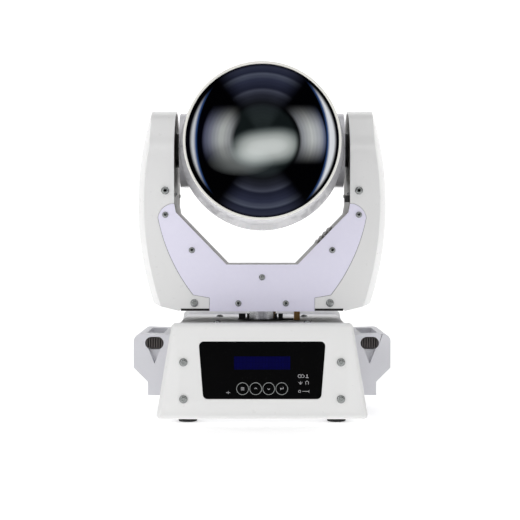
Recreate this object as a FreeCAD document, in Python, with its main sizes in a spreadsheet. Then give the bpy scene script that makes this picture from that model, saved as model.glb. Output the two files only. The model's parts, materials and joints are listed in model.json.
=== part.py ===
"""Moving head light: a fixed base, a panning yoke and a tilting head.

Frame: +X to the right of somebody facing the display, -Y towards that person, +Z up.
The origin is on the pan axis, on the underside of the base.
All sizes are millimetres and live in the sheet called Sizes.
"""
import FreeCAD, Part
import math
import os
import re
import Sketcher

SIZES = {
    # base box
    "base_height": 110.5,
    "base_depth": 276,
    "base_bottom_half": 122.5,
    "base_top_half": 104,
    "cover_depth": 16,
    "cover_front": 3,
    "cover_side": 6,
    "cover_top": 4,
    "cover_round": 5,
    "sheet_wall": 2,
    "plate_wall": 3,
    "foot_radius": 11,
    "foot_height": 6,
    "foot_inset_x": 35.5,
    "foot_inset_y": 33,
    "clamp_pitch_x": 106,
    "clamp_pitch_y": 160,
    "clamp_hole": 5,
    # how far a cutting or welded piece runs past the face it meets
    "over": 1,
    # fasteners
    "screw_head": 4.75,
    "screw_head_height": 2.6,
    "collar_share": 0.45,
    "crown_share": 0.62,
    "screw_shank": 2.5,
    "small_head": 3.75,
    "small_head_height": 2,
    "small_shank": 2,
    "shank_length": 9,
    "screw_clearance": 0.25,
    "base_screw_x": 90.4,
    "base_screw_low": 23.6,
    "base_screw_high": 66,
    "top_screw_x": 54.5,
    "top_screw_y": 62,
    # side handles
    "handle_half": 70,
    "handle_outer": 154,
    "handle_skirt": 137,
    "handle_bottom": 20,
    "handle_skirt_top": 36,
    "handle_shoulder": 53,
    "handle_top": 94,
    "handle_round": 9,
    "grip_inner": 120,
    "grip_width": 20,
    "grip_half": 45,
    "grip_round": 6,
    "end_recess_low": 75,
    "end_recess_high": 90,
    "end_recess_depth": 14,
    "end_recess_tip": 58,
    "end_recess_tip_x": 9,
    "end_recess_inset": 2,
    "handle_lean": 2,
    # control panel
    "panel_top_half": 72.65,
    "panel_bottom_half": 67.5,
    "panel_bottom": 23.8,
    "panel_height": 65.8,
    "panel_round": 5.5,
    "panel_gap": 0.25,
    "panel_sink": 0.4,
    "glass_sink": 0.5,
    "window_half": 32.3,
    "window_bottom": 57.5,
    "window_height": 15.3,
    "lcd_depth": 7,
    "lcd_margin": 8,
    "board_wall": 1.6,
    "board_margin": 6,
    "post_half": 3,
    "post_height": 4,
    "post_drop": 5,
    "button_pitch": 15,
    "button_height": 35.6,
    "button_radius": 6,
    "button_proud": 1.2,
    "button_travel": 0.8,
    "button_gap": 0.3,
    "button_flange": 6.8,
    "flange_wall": 1,
    "switch_half": 3,
    # rear sockets and the safety eye
    "socket_height": 66,
    "power_socket_x": 66,
    "socket_pitch": 36,
    "socket_barrel": 11.5,
    "socket_flange": 14,
    "socket_flange_wall": 2,
    "socket_reach": 26,
    "socket_bore": 9,
    "socket_bore_depth": 16,
    "fuse_height": 61,
    "fuse_radius": 7,
    "fuse_cap_lip": 2,
    "fuse_cap_height": 5,
    "eye_half": 2,
    "eye_reach": 18,
    "eye_bottom": 12,
    "eye_height": 24,
    "eye_bore": 6,
    "eye_margin": 3,
    # electrics in the base
    "supply_width": 84,
    "supply_length": 125,
    "supply_height": 42,
    "ballast_width": 74,
    "ballast_length": 120,
    "ballast_height": 46,
    "electrics_split": 8,
    "electrics_front": -60,
    # pan column, pulley and bearing
    "column_radius": 19,
    "column_neck": 15,
    "column_bore": 10,
    "column_tail": 22,
    "column_flange": 32,
    "column_flange_wall": 4,
    "column_head": 4,
    "run_clearance": 0.05,
    "part_clearance": 0.3,
    "bearing_wall": 11,
    "bearing_width": 9,
    "housing_wall": 3,
    "pan_pulley_radius": 34,
    "pan_pulley_rise": 16,
    "pulley_width": 10,
    "belt_wall": 1.6,
    "motor_pulley_radius": 8,
    "motor_half": 21,
    "motor_length": 30,
    "motor_shaft": 2.5,
    "pan_motor_x": 74,
    "sensor_ring": 30,
    "sensor_wall": 1.5,
    "sensor_post_height": 6,
    "sensor_post_half": 6,
    "sensor_post_gap": 1.5,
    "sensor_edge": 4,
    "latch_x": 40,
    "latch_width": 7,
    "latch_height": 10,
    "latch_half": 12,
    # yoke
    "yoke_gap": 9.5,
    "crossbar_depth": 56.5,
    "crossbar_half": 43,
    "elbow_height": 119.5,
    "elbow_inset": 2,
    "tilt_rise": 197.5,
    "arm_over": 48.5,
    "arm_gap": 5,
    "yoke_half_depth": 60,
    "yoke_wall": 2.5,
    "skin_wall": 2,
    "floor_wall": 3,
    "floor_half": 98,
    "floor_gap": 0.5,
    "hem_run": 2,
    "cover_foot_rise": 0.24,
    "rib_inset": 20,
    "rib_margin": 8,
    "rib_reach": 129,
    "dome_reach": 48,
    "dome_tall_share": 2,
    "dome_radius_deep": 156,
    "dome_below_axis": 68.5,
    "dome_core": 120,
    "dome_spare": 5,
    "side_spare": 20,
    "foot_step_half": 63.3,
    "foot_step_height": 16.5,
    "foot_slope": 20,
    "foot_slope_x": 82.8,
    "flank_top_x": 125.3,
    "flank_top_height": 113,
    "flank_radius": 218,
    "lobe_radius": 20,
    "lobe_top_height": 130,
    "seam": 0.4,
    "cover_hem": 3.5,
    "plate_screw_high_x": 116.5,
    "plate_screw_high": 116.5,
    "plate_screw_mid_x": 84.6,
    "plate_screw_mid": 73.9,
    "plate_screw_low_x": 28.6,
    "plate_screw_low": 9.7,
    "plate_screw_centre": 41.2,
    "cover_screw_high_x": 116.6,
    "cover_screw_high": 145.6,
    "cover_screw_low_x": 81.7,
    "cover_screw_low": 10.2,
    # tilt drive
    "tilt_motor_height": 82,
    "tilt_pulley_radius": 25,
    "belt_plane": 128,
    "belt_margin": 1,
    "pulley_offset": 1.5,
    "pulley_room": 2,
    "shelf_margin": 4,
    "shelf_inset": 6,
    "shaft_room": 2,
    "motor_shaft_room": 3,
    # head
    "head_radius": 99.5,
    "head_wall": 2.5,
    "head_shoulder_y": -55,
    "barrel_y": -112,
    "barrel_radius": 91,
    "nose_y": -165,
    "nose_radius": 88.8,
    "head_back_y": 40,
    "back_round": 80,
    "back_y": 112,
    "back_opening": 40,
    "boss_radius": 46,
    "boss_rise": 1.5,
    "hub_neck": 21,
    "hub_flange": 26,
    "hub_plate": 91,
    "shaft_radius": 12,
    "shaft_bore": 8,
    "shaft_end": 139.5,
    "tilt_bearing_wall": 8,
    "bezel_depth": 7,
    "bezel_lip": 2.8,
    "bezel_ledge": 6,
    "bezel_spigot": 12,
    "lens_edge": 6,
    "lens_bulge": 3.2,
    "lens_sink": 3.6,
    "seal_wall": 2,
    # inside the head
    "front_bulkhead_y": -33,
    "rear_bulkhead_y": 35,
    "bulkhead_wall": 3,
    "gate_hole": 22,
    "reflector_hole": 42,
    "reflector_mouth": 41,
    "reflector_neck": 13,
    "reflector_depth": 42,
    "reflector_wall": 1.5,
    "reflector_lip": 4,
    "reflector_bow": 1.35,
    "lamp_bulb": 9,
    "lamp_base": 11,
    "lamp_length": 36,
    "lamp_tip_share": 0.6,
    "lamp_tip_width": 0.5,
    "lamp_neck_share": 0.6,
    "lamp_seat": 2,
    "fan_radius": 42,
    "fan_depth": 13,
    "fan_hub": 13,
    "fan_tip_gap": 1.5,
    "fan_axle": 2,
    "fan_rim_wall": 3,
    "fan_plate_wall": 1.5,
    "fan_strut_half": 2,
    "blade_count": 7,
    "blade_wall": 1.2,
    "blade_root": 2,
    "blade_room": 0.5,
    "grille_margin": 4,
    "grille_rim": 8,
    "grille_rib_half": 1,
    "grille_weld": 3,
    "grille_wall": 2,
    "grille_ring_wall": 1.6,
    "wheel_radius": 46,
    "wheel_offset": 34,
    "wheel_wall": 1.5,
    "wheel_hole": 9,
    "wheel_hub": 8,
    "wheel_pin": 3,
    "wheel_hub_reach": 3,
    "colour_wheel_y": -4,
    "gobo_wheel_y": -14,
    "shutter_x": 48,
    "shutter_rise": 20,
    "shutter_length": 64,
    "shutter_half": 12,
    "shutter_wall": 1,
    "shutter_front_y": 10,
    "shutter_step": 4,
    "shutter_collar": 3,
    "shutter_collar_height": 2,
    "rail_x": 56,
    "rail_radius": 4,
    "rail_end_y": -142,
    "carriage_y": -84,
    "carriage_wall": 7,
    "carriage_half_x": 66,
    "carriage_half_z": 38,
    "focus_radius": 31,
    "focus_bulge": 4,
    "tilt_latch_inset": 10,
    "tilt_latch_lift": 2,
    "tilt_latch_length": 12,
    "tilt_latch_width": 5,
    "tilt_latch_height": 8,
}

doc = FreeCAD.newDocument("MovingHeadLight")
sheet = doc.addObject("Spreadsheet::Sheet", "Sizes")
for row, (alias, value) in enumerate(SIZES.items(), start=1):
    sheet.set(f"A{row}", str(value))
    sheet.setAlias(f"A{row}", alias)
doc.recompute()

NODES = {}
ALL_ROUND = 360
TURN_TO_X = FreeCAD.Rotation(FreeCAD.Vector(0, 1, 0), 90)
TURN_TO_Y = FreeCAD.Rotation(FreeCAD.Vector(1, 0, 0), -90)
TURNS = {"x": TURN_TO_X, "y": TURN_TO_Y, "z": FreeCAD.Rotation()}
BIG = "400"

# Places that several pieces share, as formulas over the sheet.
FRONT_Y = "-base_depth / 2"
BACK_Y = "base_depth / 2"
SLOPE = "(base_bottom_half - base_top_half) / base_height"
SHELL_TOP = "(base_height - cover_top)"
YOKE_Z = "(base_height + yoke_gap)"
CROSS_Z = f"({YOKE_Z} + crossbar_depth)"
ELBOW_Z = f"({YOKE_Z} + elbow_height)"
TILT_Z = f"({YOKE_Z} + tilt_rise)"
ARM_TOP = f"({TILT_Z} + arm_over)"
BOSS_X = "(head_radius + boss_rise)"
ARM_X = f"({BOSS_X} + arm_gap)"
ELBOW_X = f"({ARM_X} - elbow_inset)"
SHOULDER_Z = f"({ARM_TOP} - yoke_half_depth)"
INNER_DEPTH = "(yoke_half_depth - yoke_wall)"
DOME_X = f"({ARM_X} + dome_reach)"
FLOOR_TOP = f"({YOKE_Z} + floor_wall)"
PULLEY_Z = f"({YOKE_Z} + pan_pulley_rise)"
TILT_MOTOR_Z = f"({YOKE_Z} + tilt_motor_height)"
WALL_BACK = f"({FRONT_Y} + cover_front)"
RIB_HALF = "(yoke_half_depth - rib_inset)"
DOME_RADIUS = "(dome_tall_share * tilt_rise)"
MOTOR_SHELF = f"({PULLEY_Z} + pulley_width + pulley_room)"
DOME_SWING = 60
DOME_DEPTH = "(yoke_half_depth + dome_spare)"
BLADE_LEAN = 35


def with_sheet(text):
    """Put the sheet's name before every alias in a formula."""
    return re.sub(r"[a-z_]+", lambda m: "Sizes." + m.group(0) if m.group(0) in SIZES else m.group(0), str(text))


def number(text):
    """The value of a formula, in millimetres."""
    return float(sheet.evalExpression(with_sheet(text)))


def bind(thing, prop, text):
    thing.setExpression(prop, with_sheet(text))


def node(label, thing):
    """Name a finished sub-part; its label is also its file's name."""
    thing.Label = label
    NODES[label] = thing
    return thing


# ---- primitives and booleans ----

def box(name, x, y, z):
    """A box from pairs of formulas, low and high, along each axis."""
    block = doc.addObject("Part::Box", name)
    for prop, letter, (low, high) in (("Length", "x", x), ("Width", "y", y), ("Height", "z", z)):
        bind(block, prop, f"({high}) - ({low})")
        bind(block, f"Placement.Base.{letter}", low)
    return block


def rod(name, radius, axis, span, centre=("0", "0")):
    """A cylinder along an axis; centre gives the other two coordinates in x, y, z order."""
    bar = doc.addObject("Part::Cylinder", name)
    bar.Placement = FreeCAD.Placement(FreeCAD.Vector(), TURNS[axis])
    bind(bar, "Radius", radius)
    bind(bar, "Height", f"({span[1]}) - ({span[0]})")
    places = dict(zip([letter for letter in "xyz" if letter != axis], centre))
    places[axis] = span[0]
    for letter, place in places.items():
        bind(bar, f"Placement.Base.{letter}", place)
    return bar


def cut(name, base, *tools):
    piece = doc.addObject("Part::Cut", name)
    piece.Base = base
    piece.Tool = tools[0] if len(tools) == 1 else fuse(f"{name}_tools", *tools)
    return piece


def fuse(name, *pieces):
    piece = doc.addObject("Part::MultiFuse", name)
    piece.Shapes = list(pieces)
    return piece


def common(name, *pieces):
    piece = doc.addObject("Part::MultiCommon", name)
    piece.Shapes = list(pieces)
    return piece


def group(name, pieces):
    """Separate solids that share one node."""
    bunch = doc.addObject("Part::Compound", name)
    bunch.Links = list(pieces)
    return bunch


def tube(name, outer, inner, axis, span, centre=("0", "0")):
    over = (f"{span[0]} - over", f"{span[1]} + over")
    wall = rod(f"{name}_outside", outer, axis, span, centre)
    return cut(name, wall, rod(f"{name}_bore", inner, axis, over, centre))


# ---- sketches and bodies ----

def arc_between(start, end, radius):
    """The short arc from start to end; a positive radius turns left, a negative one right."""
    chord = end - start
    middle = (start + end) * 0.5
    rise = math.sqrt(max(radius * radius - chord.Length ** 2 / 4, 0))
    left = FreeCAD.Vector(-chord.y, chord.x, 0).normalize()
    side = 1 if radius > 0 else -1
    centre = middle + left * rise * side
    through = centre - left * side * abs(radius)
    return Part.Arc(start, through, end) if side > 0 else Part.Arc(end, through, start)


def outline(body, name, role, points, shift="0"):
    """A closed sketch on one of the body's own planes.

    Each point is (across, up) or (across, up, radius): the radius makes an arc to the next point.
    """
    plane = [feature for feature in body.Origin.OriginFeatures if feature.Role == role][0]
    drawing = body.newObject("Sketcher::SketchObject", name)
    drawing.AttachmentSupport = [(plane, "")]
    drawing.MapMode = "FlatFace"
    if shift != "0":
        bind(drawing, "AttachmentOffset.Base.z", shift)
    corners = [FreeCAD.Vector(number(point[0]), number(point[1]), 0) for point in points]
    for index, point in enumerate(points):
        start = corners[index]
        end = corners[(index + 1) % len(points)]
        curved = len(point) == 3
        edge = arc_between(start, end, number(point[2])) if curved else Part.LineSegment(start, end)
        drawing.addGeometry(edge)
    ends = [edge_ends(drawing.Geometry[index], corners[index]) for index in range(len(points))]
    for index, point in enumerate(points):
        following = (index + 1) % len(points)
        head, tail = ends[index]
        drawing.addConstraint(Sketcher.Constraint("Coincident", index, tail, following, ends[following][0]))
        for kind, coordinate, formula in (("DistanceX", corners[index].x, point[0]),
                                          ("DistanceY", corners[index].y, point[1])):
            number_of = drawing.addConstraint(Sketcher.Constraint(kind, index, head, coordinate))
            bind(drawing, f"Constraints[{number_of}]", formula)
        if len(point) == 3:
            radius = abs(number(point[2]))
            number_of = drawing.addConstraint(Sketcher.Constraint("Radius", index, radius))
            bind(drawing, f"Constraints[{number_of}]", f"abs({point[2]})")
    return drawing


def edge_ends(edge, corner):
    """Which end of an edge starts at the corner: 1 for its start point, 2 for its end point."""
    starts_here = edge.StartPoint.distanceToPoint(corner) < edge.EndPoint.distanceToPoint(corner)
    return (1, 2) if starts_here else (2, 1)


def discs(body, name, role, places, radius, shift="0"):
    """A sketch of equal circles."""
    plane = [feature for feature in body.Origin.OriginFeatures if feature.Role == role][0]
    drawing = body.newObject("Sketcher::SketchObject", name)
    drawing.AttachmentSupport = [(plane, "")]
    drawing.MapMode = "FlatFace"
    if shift != "0":
        bind(drawing, "AttachmentOffset.Base.z", shift)
    for index, (across, up) in enumerate(places):
        centre = FreeCAD.Vector(number(across), number(up), 0)
        drawing.addGeometry(Part.Circle(centre, FreeCAD.Vector(0, 0, 1), number(radius)))
        sizes = (("DistanceX", centre.x, across), ("DistanceY", centre.y, up))
        for kind, coordinate, formula in sizes:
            number_of = drawing.addConstraint(Sketcher.Constraint(kind, index, 3, coordinate))
            bind(drawing, f"Constraints[{number_of}]", formula)
        number_of = drawing.addConstraint(Sketcher.Constraint("Radius", index, number(radius)))
        bind(drawing, f"Constraints[{number_of}]", radius)
    return drawing


def new_body(name):
    body = doc.addObject("PartDesign::Body", name)
    doc.recompute()
    return body


def pad(body, drawing, length, both_ways=False, backwards=False):
    feature = body.newObject("PartDesign::Pad", f"{drawing.Name}_pad")
    feature.Profile = drawing
    feature.SideType = "Symmetric" if both_ways else "One side"
    feature.Reversed = backwards
    bind(feature, "Length", length)
    doc.recompute()
    return feature


def pocket(body, drawing, length, both_ways=False, backwards=False):
    """Cut a sketch into the body, and make sure that it removed something."""
    before = body.Shape.Volume
    feature = body.newObject("PartDesign::Pocket", f"{drawing.Name}_pocket")
    feature.Profile = drawing
    feature.SideType = "Symmetric" if both_ways else "One side"
    feature.Reversed = backwards
    bind(feature, "Length", length)
    doc.recompute()
    if feature.Shape.Volume >= before:
        raise RuntimeError(f"{feature.Name} cut nothing")
    return feature


def turned(name, points, axis="V_Axis", role="XY_Plane", height="0"):
    """A body turned from one closed outline about a sketch axis."""
    body = new_body(name)
    drawing = outline(body, f"{name}_outline", role, points)
    feature = body.newObject("PartDesign::Revolution", f"{name}_turn")
    feature.Profile = drawing
    feature.ReferenceAxis = (drawing, [axis])
    feature.Angle = ALL_ROUND
    bind(body, "Placement.Base.z", height)
    doc.recompute()
    return body


def edges_where(shape, test):
    return [f"Edge{index + 1}" for index, edge in enumerate(shape.Edges) if test(edge)]


def round_edges(body, radius, test):
    base = body.Tip
    feature = body.newObject("PartDesign::Fillet", f"{body.Name}_round{len(body.Group)}")
    feature.Base = (base, edges_where(base.Shape, test))
    bind(feature, "Radius", radius)
    doc.recompute()
    return feature


def along(edge, direction):
    """True for a straight edge parallel to the direction."""
    if len(edge.Vertexes) < 2:
        return False
    run = edge.Vertexes[-1].Point - edge.Vertexes[0].Point
    straight = abs(run.Length - edge.Length) < 0.001
    return straight and run.Length > 0.01 and abs(run.normalize().dot(direction)) > 0.999


AXIS_X = FreeCAD.Vector(1, 0, 0)
AXIS_Y = FreeCAD.Vector(0, 1, 0)
AXIS_Z = FreeCAD.Vector(0, 0, 1)
NEAR = 0.01


def mirrored_points(points):
    """Carry a half outline on round the other side of the upright axis."""
    other = []
    for index in range(len(points) - 1, -1, -1):
        across, up = points[index][:2]
        arriving = points[index - 1] if index else ()
        other.append((f"-({across})", up) + tuple(arriving[2:3]))
    return points + other


# ---- screws ----

def screw(name, place, outward, head, head_height, shank):
    """A button-head screw along Y or Z; outward is +1 or -1 along the axis."""
    axis, seat, centre = place
    rim = f"({seat}) + ({outward}) * {head_height} * collar_share"
    top = f"({seat}) + ({outward}) * {head_height}"
    root = f"({seat}) - ({outward}) * shank_length"
    flat = (seat, rim) if outward > 0 else (rim, seat)
    dome = (rim, top) if outward > 0 else (top, rim)
    stem = (root, seat) if outward > 0 else (seat, root)
    button = doc.addObject("Part::Cone", f"{name}_dome")
    turn = TURNS[axis] if outward > 0 else TURNS[axis].multiply(FreeCAD.Rotation(AXIS_X, 180))
    button.Placement = FreeCAD.Placement(FreeCAD.Vector(), turn)
    bind(button, "Radius1", head)
    bind(button, "Radius2", f"{head} * crown_share")
    bind(button, "Height", f"{dome[1]} - ({dome[0]})")
    places = dict(zip([letter for letter in "xyz" if letter != axis], centre))
    places[axis] = rim
    for letter, where in places.items():
        bind(button, f"Placement.Base.{letter}", where)
    collar = rod(f"{name}_collar", head, axis, flat, centre)
    shaft = rod(f"{name}_shank", shank, axis, stem, centre)
    return fuse(name, button, collar, shaft)


def screw_holes(name, places, shank):
    """Clearance holes that match a list of screw places."""
    holes = []
    for index, (axis, seat, centre, outward) in enumerate(places):
        span = (f"({seat}) - shank_length - over", f"({seat}) + over")
        if outward < 0:
            span = (f"({seat}) - over", f"({seat}) + shank_length + over")
        holes.append(rod(f"{name}{index}", f"{shank} + screw_clearance", axis, span, centre))
    return fuse(name, *holes) if len(holes) > 1 else holes[0]


def make_screws(label, places, head, head_height, shank):
    pieces = []
    for index, (axis, seat, centre, outward) in enumerate(places):
        name = f"{label}_{index}"
        pieces.append(screw(name, (axis, seat, centre), outward, head, head_height, shank))
    return node(label, group(f"{label}_group", pieces))


BASE_SCREWS = [("y", end_y, (f"{side} * base_screw_x", height), outward)
               for end_y, outward in ((FRONT_Y, -1), (BACK_Y, 1))
               for side in (-1, 1) for height in ("base_screw_low", "base_screw_high")]
TOP_SCREWS = [("z", SHELL_TOP, (f"{side} * top_screw_x", f"{end} * top_screw_y"), 1)
              for side in (-1, 1) for end in (-1, 1)]


# ---- base ----

def trapezoid(inset_side, low, high):
    """The base's cross-section, inset from its sides, between two heights."""
    wide = f"base_bottom_half - {inset_side} - {SLOPE} * ({low})"
    narrow = f"base_bottom_half - {inset_side} - {SLOPE} * ({high})"
    return [(f"-({wide})", low), (wide, low), (narrow, high), (f"-({narrow})", high)]


def make_base_cover(label, end, window):
    """One end cover: a rounded tray with its open side towards the middle of the base."""
    body = new_body(label)
    front_face = trapezoid("0", "0", "base_height")
    face = outline(body, f"{label}_face", "XZ_Plane", front_face, f"-({end}) * base_depth / 2")
    pad(body, face, "cover_depth", backwards=end < 0)
    face_y = end * number("base_depth") / 2

    def outer_edge(edge):
        on_face = all(abs(vertex.Point.y - face_y) < NEAR for vertex in edge.Vertexes)
        return on_face or along(edge, AXIS_Y)
    round_edges(body, "cover_round", outer_edge)
    hollow = trapezoid("cover_side", "plate_wall", SHELL_TOP)
    inside = outline(body, f"{label}_inside", "XZ_Plane", hollow, f"-({end}) * (base_depth / 2 - cover_front)")
    pocket(body, inside, "cover_depth", backwards=end > 0)
    if window:
        top = "panel_bottom + panel_height"
        corners = [("-panel_bottom_half - panel_gap", "panel_bottom - panel_gap"),
                   ("panel_bottom_half + panel_gap", "panel_bottom - panel_gap"),
                   ("panel_top_half + panel_gap", f"{top} + panel_gap"),
                   ("-panel_top_half - panel_gap", f"{top} + panel_gap")]
        hole = outline(body, f"{label}_window", "XZ_Plane", corners, "base_depth / 2 + over")
        pocket(body, hole, "cover_front + 2 * over")
        reach = number("panel_top_half + over")
        low = number("panel_bottom - over")
        round_edges(body, "panel_round", lambda edge: along(edge, AXIS_Y)
                    and abs(edge.Vertexes[0].Point.x) < reach and edge.Vertexes[0].Point.z > low
                    and edge.Length < number("cover_front") + 0.1
                    and edge.Vertexes[0].Point.z < number(top) + 1)
    return body


def make_base():
    half = "(base_depth / 2 - cover_front)"
    # floor plate between the end covers
    plate = new_body("floor_body")
    wide = "base_bottom_half - cover_side"
    deep = "base_depth / 2 - cover_depth"
    drawing = outline(plate, "floor_outline", "XY_Plane",
                      [(f"-({wide})", f"-({deep})"), (wide, f"-({deep})"), (wide, deep), (f"-({wide})", deep)])
    pad(plate, drawing, "plate_wall")
    corners = [(side, end) for side in (-1, 1) for end in (-1, 1)]
    places = [(f"{side} * clamp_pitch_x / 2", f"{end} * clamp_pitch_y / 2") for side, end in corners]
    pocket(plate, discs(plate, "clamp_holes", "XY_Plane", places, "clamp_hole"), "plate_wall", backwards=True)
    node("base_bottom_plate", plate)

    # folded sheet that makes the sides and the top
    shell = new_body("shell_body")
    outer = trapezoid("cover_side", "plate_wall", SHELL_TOP)
    inner = trapezoid("(cover_side + sheet_wall)", "plate_wall", f"{SHELL_TOP} - sheet_wall")
    band = [outer[0], inner[0], inner[3], inner[2], inner[1], outer[1], outer[2], outer[3]]
    pad(shell, outline(shell, "shell_outline", "XZ_Plane", band), f"2 * {half}", both_ways=True)
    hole = discs(shell, "column_hole", "XY_Plane", [("0", "0")], "column_radius + part_clearance",
                 f"{SHELL_TOP} - sheet_wall - over")
    pocket(shell, hole, "sheet_wall + 2 * over", backwards=True)
    screws = [(f"{side} * top_screw_x", f"{end} * top_screw_y") for side, end in corners]
    holes = discs(shell, "top_screw_holes", "XY_Plane", screws, "screw_shank + screw_clearance",
                  f"{SHELL_TOP} - sheet_wall - over")
    pocket(shell, holes, "sheet_wall + 2 * over", backwards=True)
    node("base_shell", shell)

    front = make_base_cover("front_tray", -1, True)
    front_holes = screw_holes("front_holes", BASE_SCREWS[:4], "screw_shank")
    node("base_front_cover", cut("front_cover_cut", front, front_holes))
    rear = make_base_cover("rear_tray", 1, False)
    rear_cuts = [screw_holes("rear_holes", BASE_SCREWS[4:], "screw_shank")]
    rear_cuts += [rod(f"socket_hole_{index}", "socket_barrel", "y", ("0", BIG), (x, "socket_height"))
                  for index, x in enumerate(SOCKET_X)]
    rear_cuts.append(rod("fuse_hole", "fuse_radius", "y", ("0", BIG), ("0", "fuse_height")))
    node("base_rear_cover", cut("rear_cover_cut", rear, *rear_cuts))
    make_screws("base_screws", BASE_SCREWS + TOP_SCREWS, "screw_head", "screw_head_height", "screw_shank")
    feet = []
    for index, (side, end) in enumerate(corners):
        centre = (f"{side} * (base_bottom_half - foot_inset_x)", f"{end} * (base_depth / 2 - foot_inset_y)")
        feet.append(rod(f"foot_{index}", "foot_radius", "z", ("-foot_height", "0"), centre))
    node("base_feet", group("feet_group", feet))


SOCKET_X = [f"{side} * (power_socket_x - {step} * socket_pitch)" for side in (-1, 1) for step in (0, 1)]


def make_socket(name, x):
    """A round panel socket: square flange outside, barrel inside, and a blind bore for the plug."""
    face = "base_depth / 2"
    flange = box(f"{name}_flange", (f"{x} - socket_flange", f"{x} + socket_flange"),
                 (face, f"{face} + socket_flange_wall"),
                 ("socket_height - socket_flange", "socket_height + socket_flange"))
    barrel = rod(f"{name}_barrel", "socket_barrel", "y", (f"{face} - socket_reach", face), (x, "socket_height"))
    bore = rod(f"{name}_bore", "socket_bore", "y",
               (f"{face} + socket_flange_wall - socket_bore_depth", f"{face} + socket_flange_wall + over"),
               (x, "socket_height"))
    return cut(name, fuse(f"{name}_solid", flange, barrel), bore)


def make_rear_fittings():
    data = [make_socket(f"data_{i}", x) for i, x in enumerate(SOCKET_X[:2])]
    node("data_sockets", group("data_group", data))
    power = [make_socket(f"power_{i}", x) for i, x in enumerate(SOCKET_X[2:])]
    node("power_sockets", group("power_group", power))
    face = "base_depth / 2"
    height = "fuse_height"
    body = rod("fuse_body", "fuse_radius", "y", (f"{face} - socket_reach", face), ("0", height))
    cap = rod("fuse_cap", "fuse_radius + fuse_cap_lip", "y", (face, f"{face} + fuse_cap_height"), ("0", height))
    node("fuse_holder", fuse("fuse_fused", body, cap))
    upright = ("eye_bottom", "eye_bottom + eye_height")
    lug = box("eye_lug", ("-eye_half", "eye_half"), (face, f"{face} + eye_reach"), upright)
    pad_plate = box("eye_pad", ("-eye_height / 2", "eye_height / 2"), (face, f"{face} + eye_half"), upright)
    hole = rod("eye_hole", "eye_bore", "x", ("-eye_half - over", "eye_half + over"),
               (f"{face} + eye_reach - eye_bore - eye_margin", "eye_bottom + eye_height / 2"))
    node("safety_eye", cut("eye_cut", fuse("eye_fused", lug, pad_plate), hole))


def make_handle(label, side):
    """A moulded hand-grip on the side of the base, open above and below for the fingers."""
    body = new_body(label + "_body")
    low_flank = f"base_bottom_half - cover_side - {SLOPE} * handle_bottom"
    high_flank = f"base_bottom_half - cover_side - {SLOPE} * (handle_top - handle_lean)"
    points = [(low_flank, "handle_bottom"), ("handle_skirt", "handle_bottom"),
              ("handle_skirt", "handle_skirt_top"), ("handle_outer", "handle_shoulder"),
              ("handle_outer", "handle_top"), (high_flank, "handle_top - handle_lean")]
    points = [(f"{side} * ({point[0]})", point[1]) for point in points]
    pad(body, outline(body, label + "_outline", "XZ_Plane", points), "2 * handle_half", both_ways=True)
    outer = number("handle_outer")
    top = number("handle_top")

    def top_corner(edge):
        place = edge.Vertexes[0].Point
        return along(edge, AXIS_Y) and abs(place.z - top) < NEAR and abs(abs(place.x) - outer) < NEAR
    round_edges(body, "handle_round", top_corner)
    near = f"{side} * grip_inner"
    far = f"{side} * (grip_inner + grip_width)"
    slot = outline(body, label + "_slot", "XY_Plane",
                   [(near, "-grip_half"), (far, "-grip_half"), (far, "grip_half"), (near, "grip_half")])
    pocket(body, slot, BIG, both_ways=True)
    inner = number("grip_inner")
    round_edges(body, "grip_round", lambda edge: along(edge, AXIS_Z)
                and abs(abs(edge.Vertexes[0].Point.x) - inner) < NEAR)
    middle = "(end_recess_low + end_recess_high) / 2"
    radius = "(end_recess_high - end_recess_low) / 2"
    left = f"{side} * (grip_inner - end_recess_inset + {radius})"
    right = f"{side} * (grip_inner + grip_width - {radius})"
    recess = [(left, "end_recess_low"), (right, "end_recess_low", f"{side} * {radius}"),
              (f"{side} * (grip_inner + grip_width)", middle, f"{side} * {radius}"),
              (right, "end_recess_high"), (left, "end_recess_high", f"{side} * {radius}"),
              (f"{side} * (grip_inner - end_recess_inset)", middle, f"{side} * {radius}")]
    for end in (-1, 1):
        word = "front" if end < 0 else "rear"
        drawing = outline(body, f"{label}_{word}_recess", "XZ_Plane", recess, f"-({end}) * (handle_half + over)")
        pocket(body, drawing, "end_recess_depth + over", backwards=end > 0)
        tip = [(f"{side} * (grip_inner - over)", f"{middle} + over"),
               (f"{side} * (grip_inner + end_recess_tip_x)", "end_recess_tip"),
               (f"{side} * (grip_inner + grip_width - over)", f"{middle} + over")]
        drawing = outline(body, f"{label}_{word}_scoop", "XZ_Plane", tip, f"-({end}) * (handle_half + over)")
        pocket(body, drawing, "end_recess_depth / 2 + over", backwards=end > 0)
    return node(label, body)


# ---- control panel ----

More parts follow.
